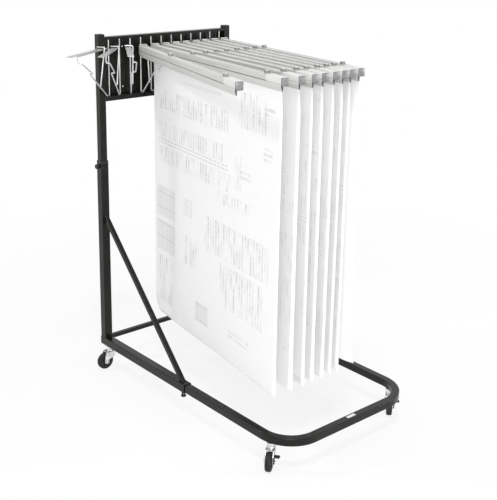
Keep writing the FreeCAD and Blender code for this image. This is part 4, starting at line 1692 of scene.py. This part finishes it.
@dataclass
class Stage:
    """Pale floor and soft studio light; each lamp has its place, target, size and power."""

    floor_half: float = 14.0
    floor_grey: float = 0.95
    floor_rough: float = 0.9
    world: float = 0.54
    glow_near: float = 0.80
    middle: Triple = (0.0, -0.6, 0.0)
    fade: Flat = (1.3, 3.2)
    lamps: tuple[tuple[Triple, Triple, float, float], ...] = (
        ((-4.65, -7.2, 2.1), (0.0, -0.8, 0.7), 2.2, 275.0),
        ((3.6, -3.6, 2.2), (0.0, -0.8, 0.6), 0.7, 60.0),
        ((-2.0, -3.0, 8.0), (0.0, -0.6, 0.0), 0.8, 160.0),
        ((-3.4, 3.6, 5.6), (0.0, -0.6, 0.4), 0.7, 80.0),
    )

    def floor(self) -> None:
        """Lays the floor, which keeps the rack's shadow and fades to white away from it."""
        recipe = Recipe("pale_floor")
        recipe.give(Base_Color=(*grey(self.floor_grey), 1.0), Roughness=self.floor_rough, Specular_IOR_Level=0.0)
        away = recipe.node("ShaderNodeVectorMath", {"operation": "DISTANCE"}, i0=recipe.place, i1=self.middle)
        glow = recipe.node(
            "ShaderNodeMapRange", {"interpolation_type": "SMOOTHSTEP"}, Value=away.outputs["Value"],
            From_Min=self.fade[0], From_Max=self.fade[1], To_Min=self.glow_near,
        )
        white = recipe.node("ShaderNodeEmission", Color=WHITE)
        mix = recipe.node(
            "ShaderNodeMixShader", i0=recipe.maths("MULTIPLY", recipe.seen(), glow.outputs[0]),
            i1=recipe.shader.outputs[0], i2=white.outputs[0],
        )
        recipe.feed(recipe.tree.nodes["Material Output"].inputs["Surface"], mix.outputs[0])
        half = self.floor_half
        mesh = bpy.data.meshes.new("floor")
        mesh.from_pydata([(x, y, 0.0) for x, y in box(-half, -half, half, half)], [], [(0, 1, 2, 3)])
        mesh.materials.append(recipe.material)
        stand("floor", mesh)

    def sky(self) -> None:
        """White behind the rack, and an even soft light on it."""
        world = bpy.data.worlds.new("studio")
        bpy.context.scene.world = world
        world.use_nodes = True
        wiring = Wiring(world.node_tree)
        back = wiring.tree.nodes["Background"].inputs
        wiring.feed(back["Color"], WHITE)
        strength = wiring.node("ShaderNodeMapRange", Value=wiring.seen(), To_Min=self.world)
        wiring.feed(back["Strength"], strength.outputs[0])

    def lights(self) -> None:
        """Hangs the soft lamps."""
        for number, (place, target, size, power) in enumerate(self.lamps):
            lamp = bpy.data.lights.new(f"lamp_{number + 1}", "AREA")
            lamp.size = size
            lamp.energy = power
            thing = stand(lamp.name, lamp)
            thing.location = place
            thing.rotation_euler = (Vector(target) - Vector(place)).to_track_quat("-Z", "Y").to_euler()

    def build(self) -> None:
        """Sets up floor, world, lamps and view transform."""
        self.floor()
        self.sky()
        self.lights()
        bpy.context.scene.view_settings.view_transform = "Standard"


@dataclass
class Camera:
    """The camera, above the hangers and to the left of the open front."""

    place: Triple = (-2.529, -3.473, 1.994)
    yaw: float = 40.84
    pitch: float = 15.8
    roll: float = 0.91
    lens: float = 68.16
    sensor: float = 36.0
    shift: Flat = (0.0168, -0.1188)
    far: float = 60.0

    def build(self) -> None:
        """Sets the camera up and makes it the scene's."""
        yaw, pitch, roll = (math.radians(a) for a in (self.yaw, self.pitch, self.roll))
        ahead = Vector((math.sin(yaw) * math.cos(pitch), math.cos(yaw) * math.cos(pitch), -math.sin(pitch)))
        level = Vector((math.cos(yaw), -math.sin(yaw), 0))
        up = level.cross(ahead)
        right = math.cos(roll) * level + math.sin(roll) * up
        over = -math.sin(roll) * level + math.cos(roll) * up
        data = bpy.data.cameras.new("camera")
        data.lens = self.lens
        data.sensor_width = self.sensor
        data.shift_x, data.shift_y = self.shift
        data.clip_end = self.far
        camera = stand("camera", data)
        camera.matrix_world = Matrix.Translation(self.place) @ Matrix((right, over, -ahead)).transposed().to_4x4()
        bpy.context.scene.camera = camera


def main() -> None:
    """Builds the rack's looks from the frame to the stage."""
    logging.basicConfig(level=logging.INFO, format="%(name)s: %(message)s")
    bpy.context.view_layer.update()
    Camera().build()
    finishes = Finishes()
    row = HangerRow()
    wires, ribs, welds = wire_growth(), rib_growth(), weld_growth()
    Frame(finishes).build(welds)
    Hangers(finishes, row).build(wires, welds)
    Clamps(finishes, row).build(ribs)
    Sheets(finishes, row).build()
    Casters(finishes).build()
    ThumbKnobs(finishes).build(ribs)
    Stage().build()


if __name__ == "__main__":
    main()
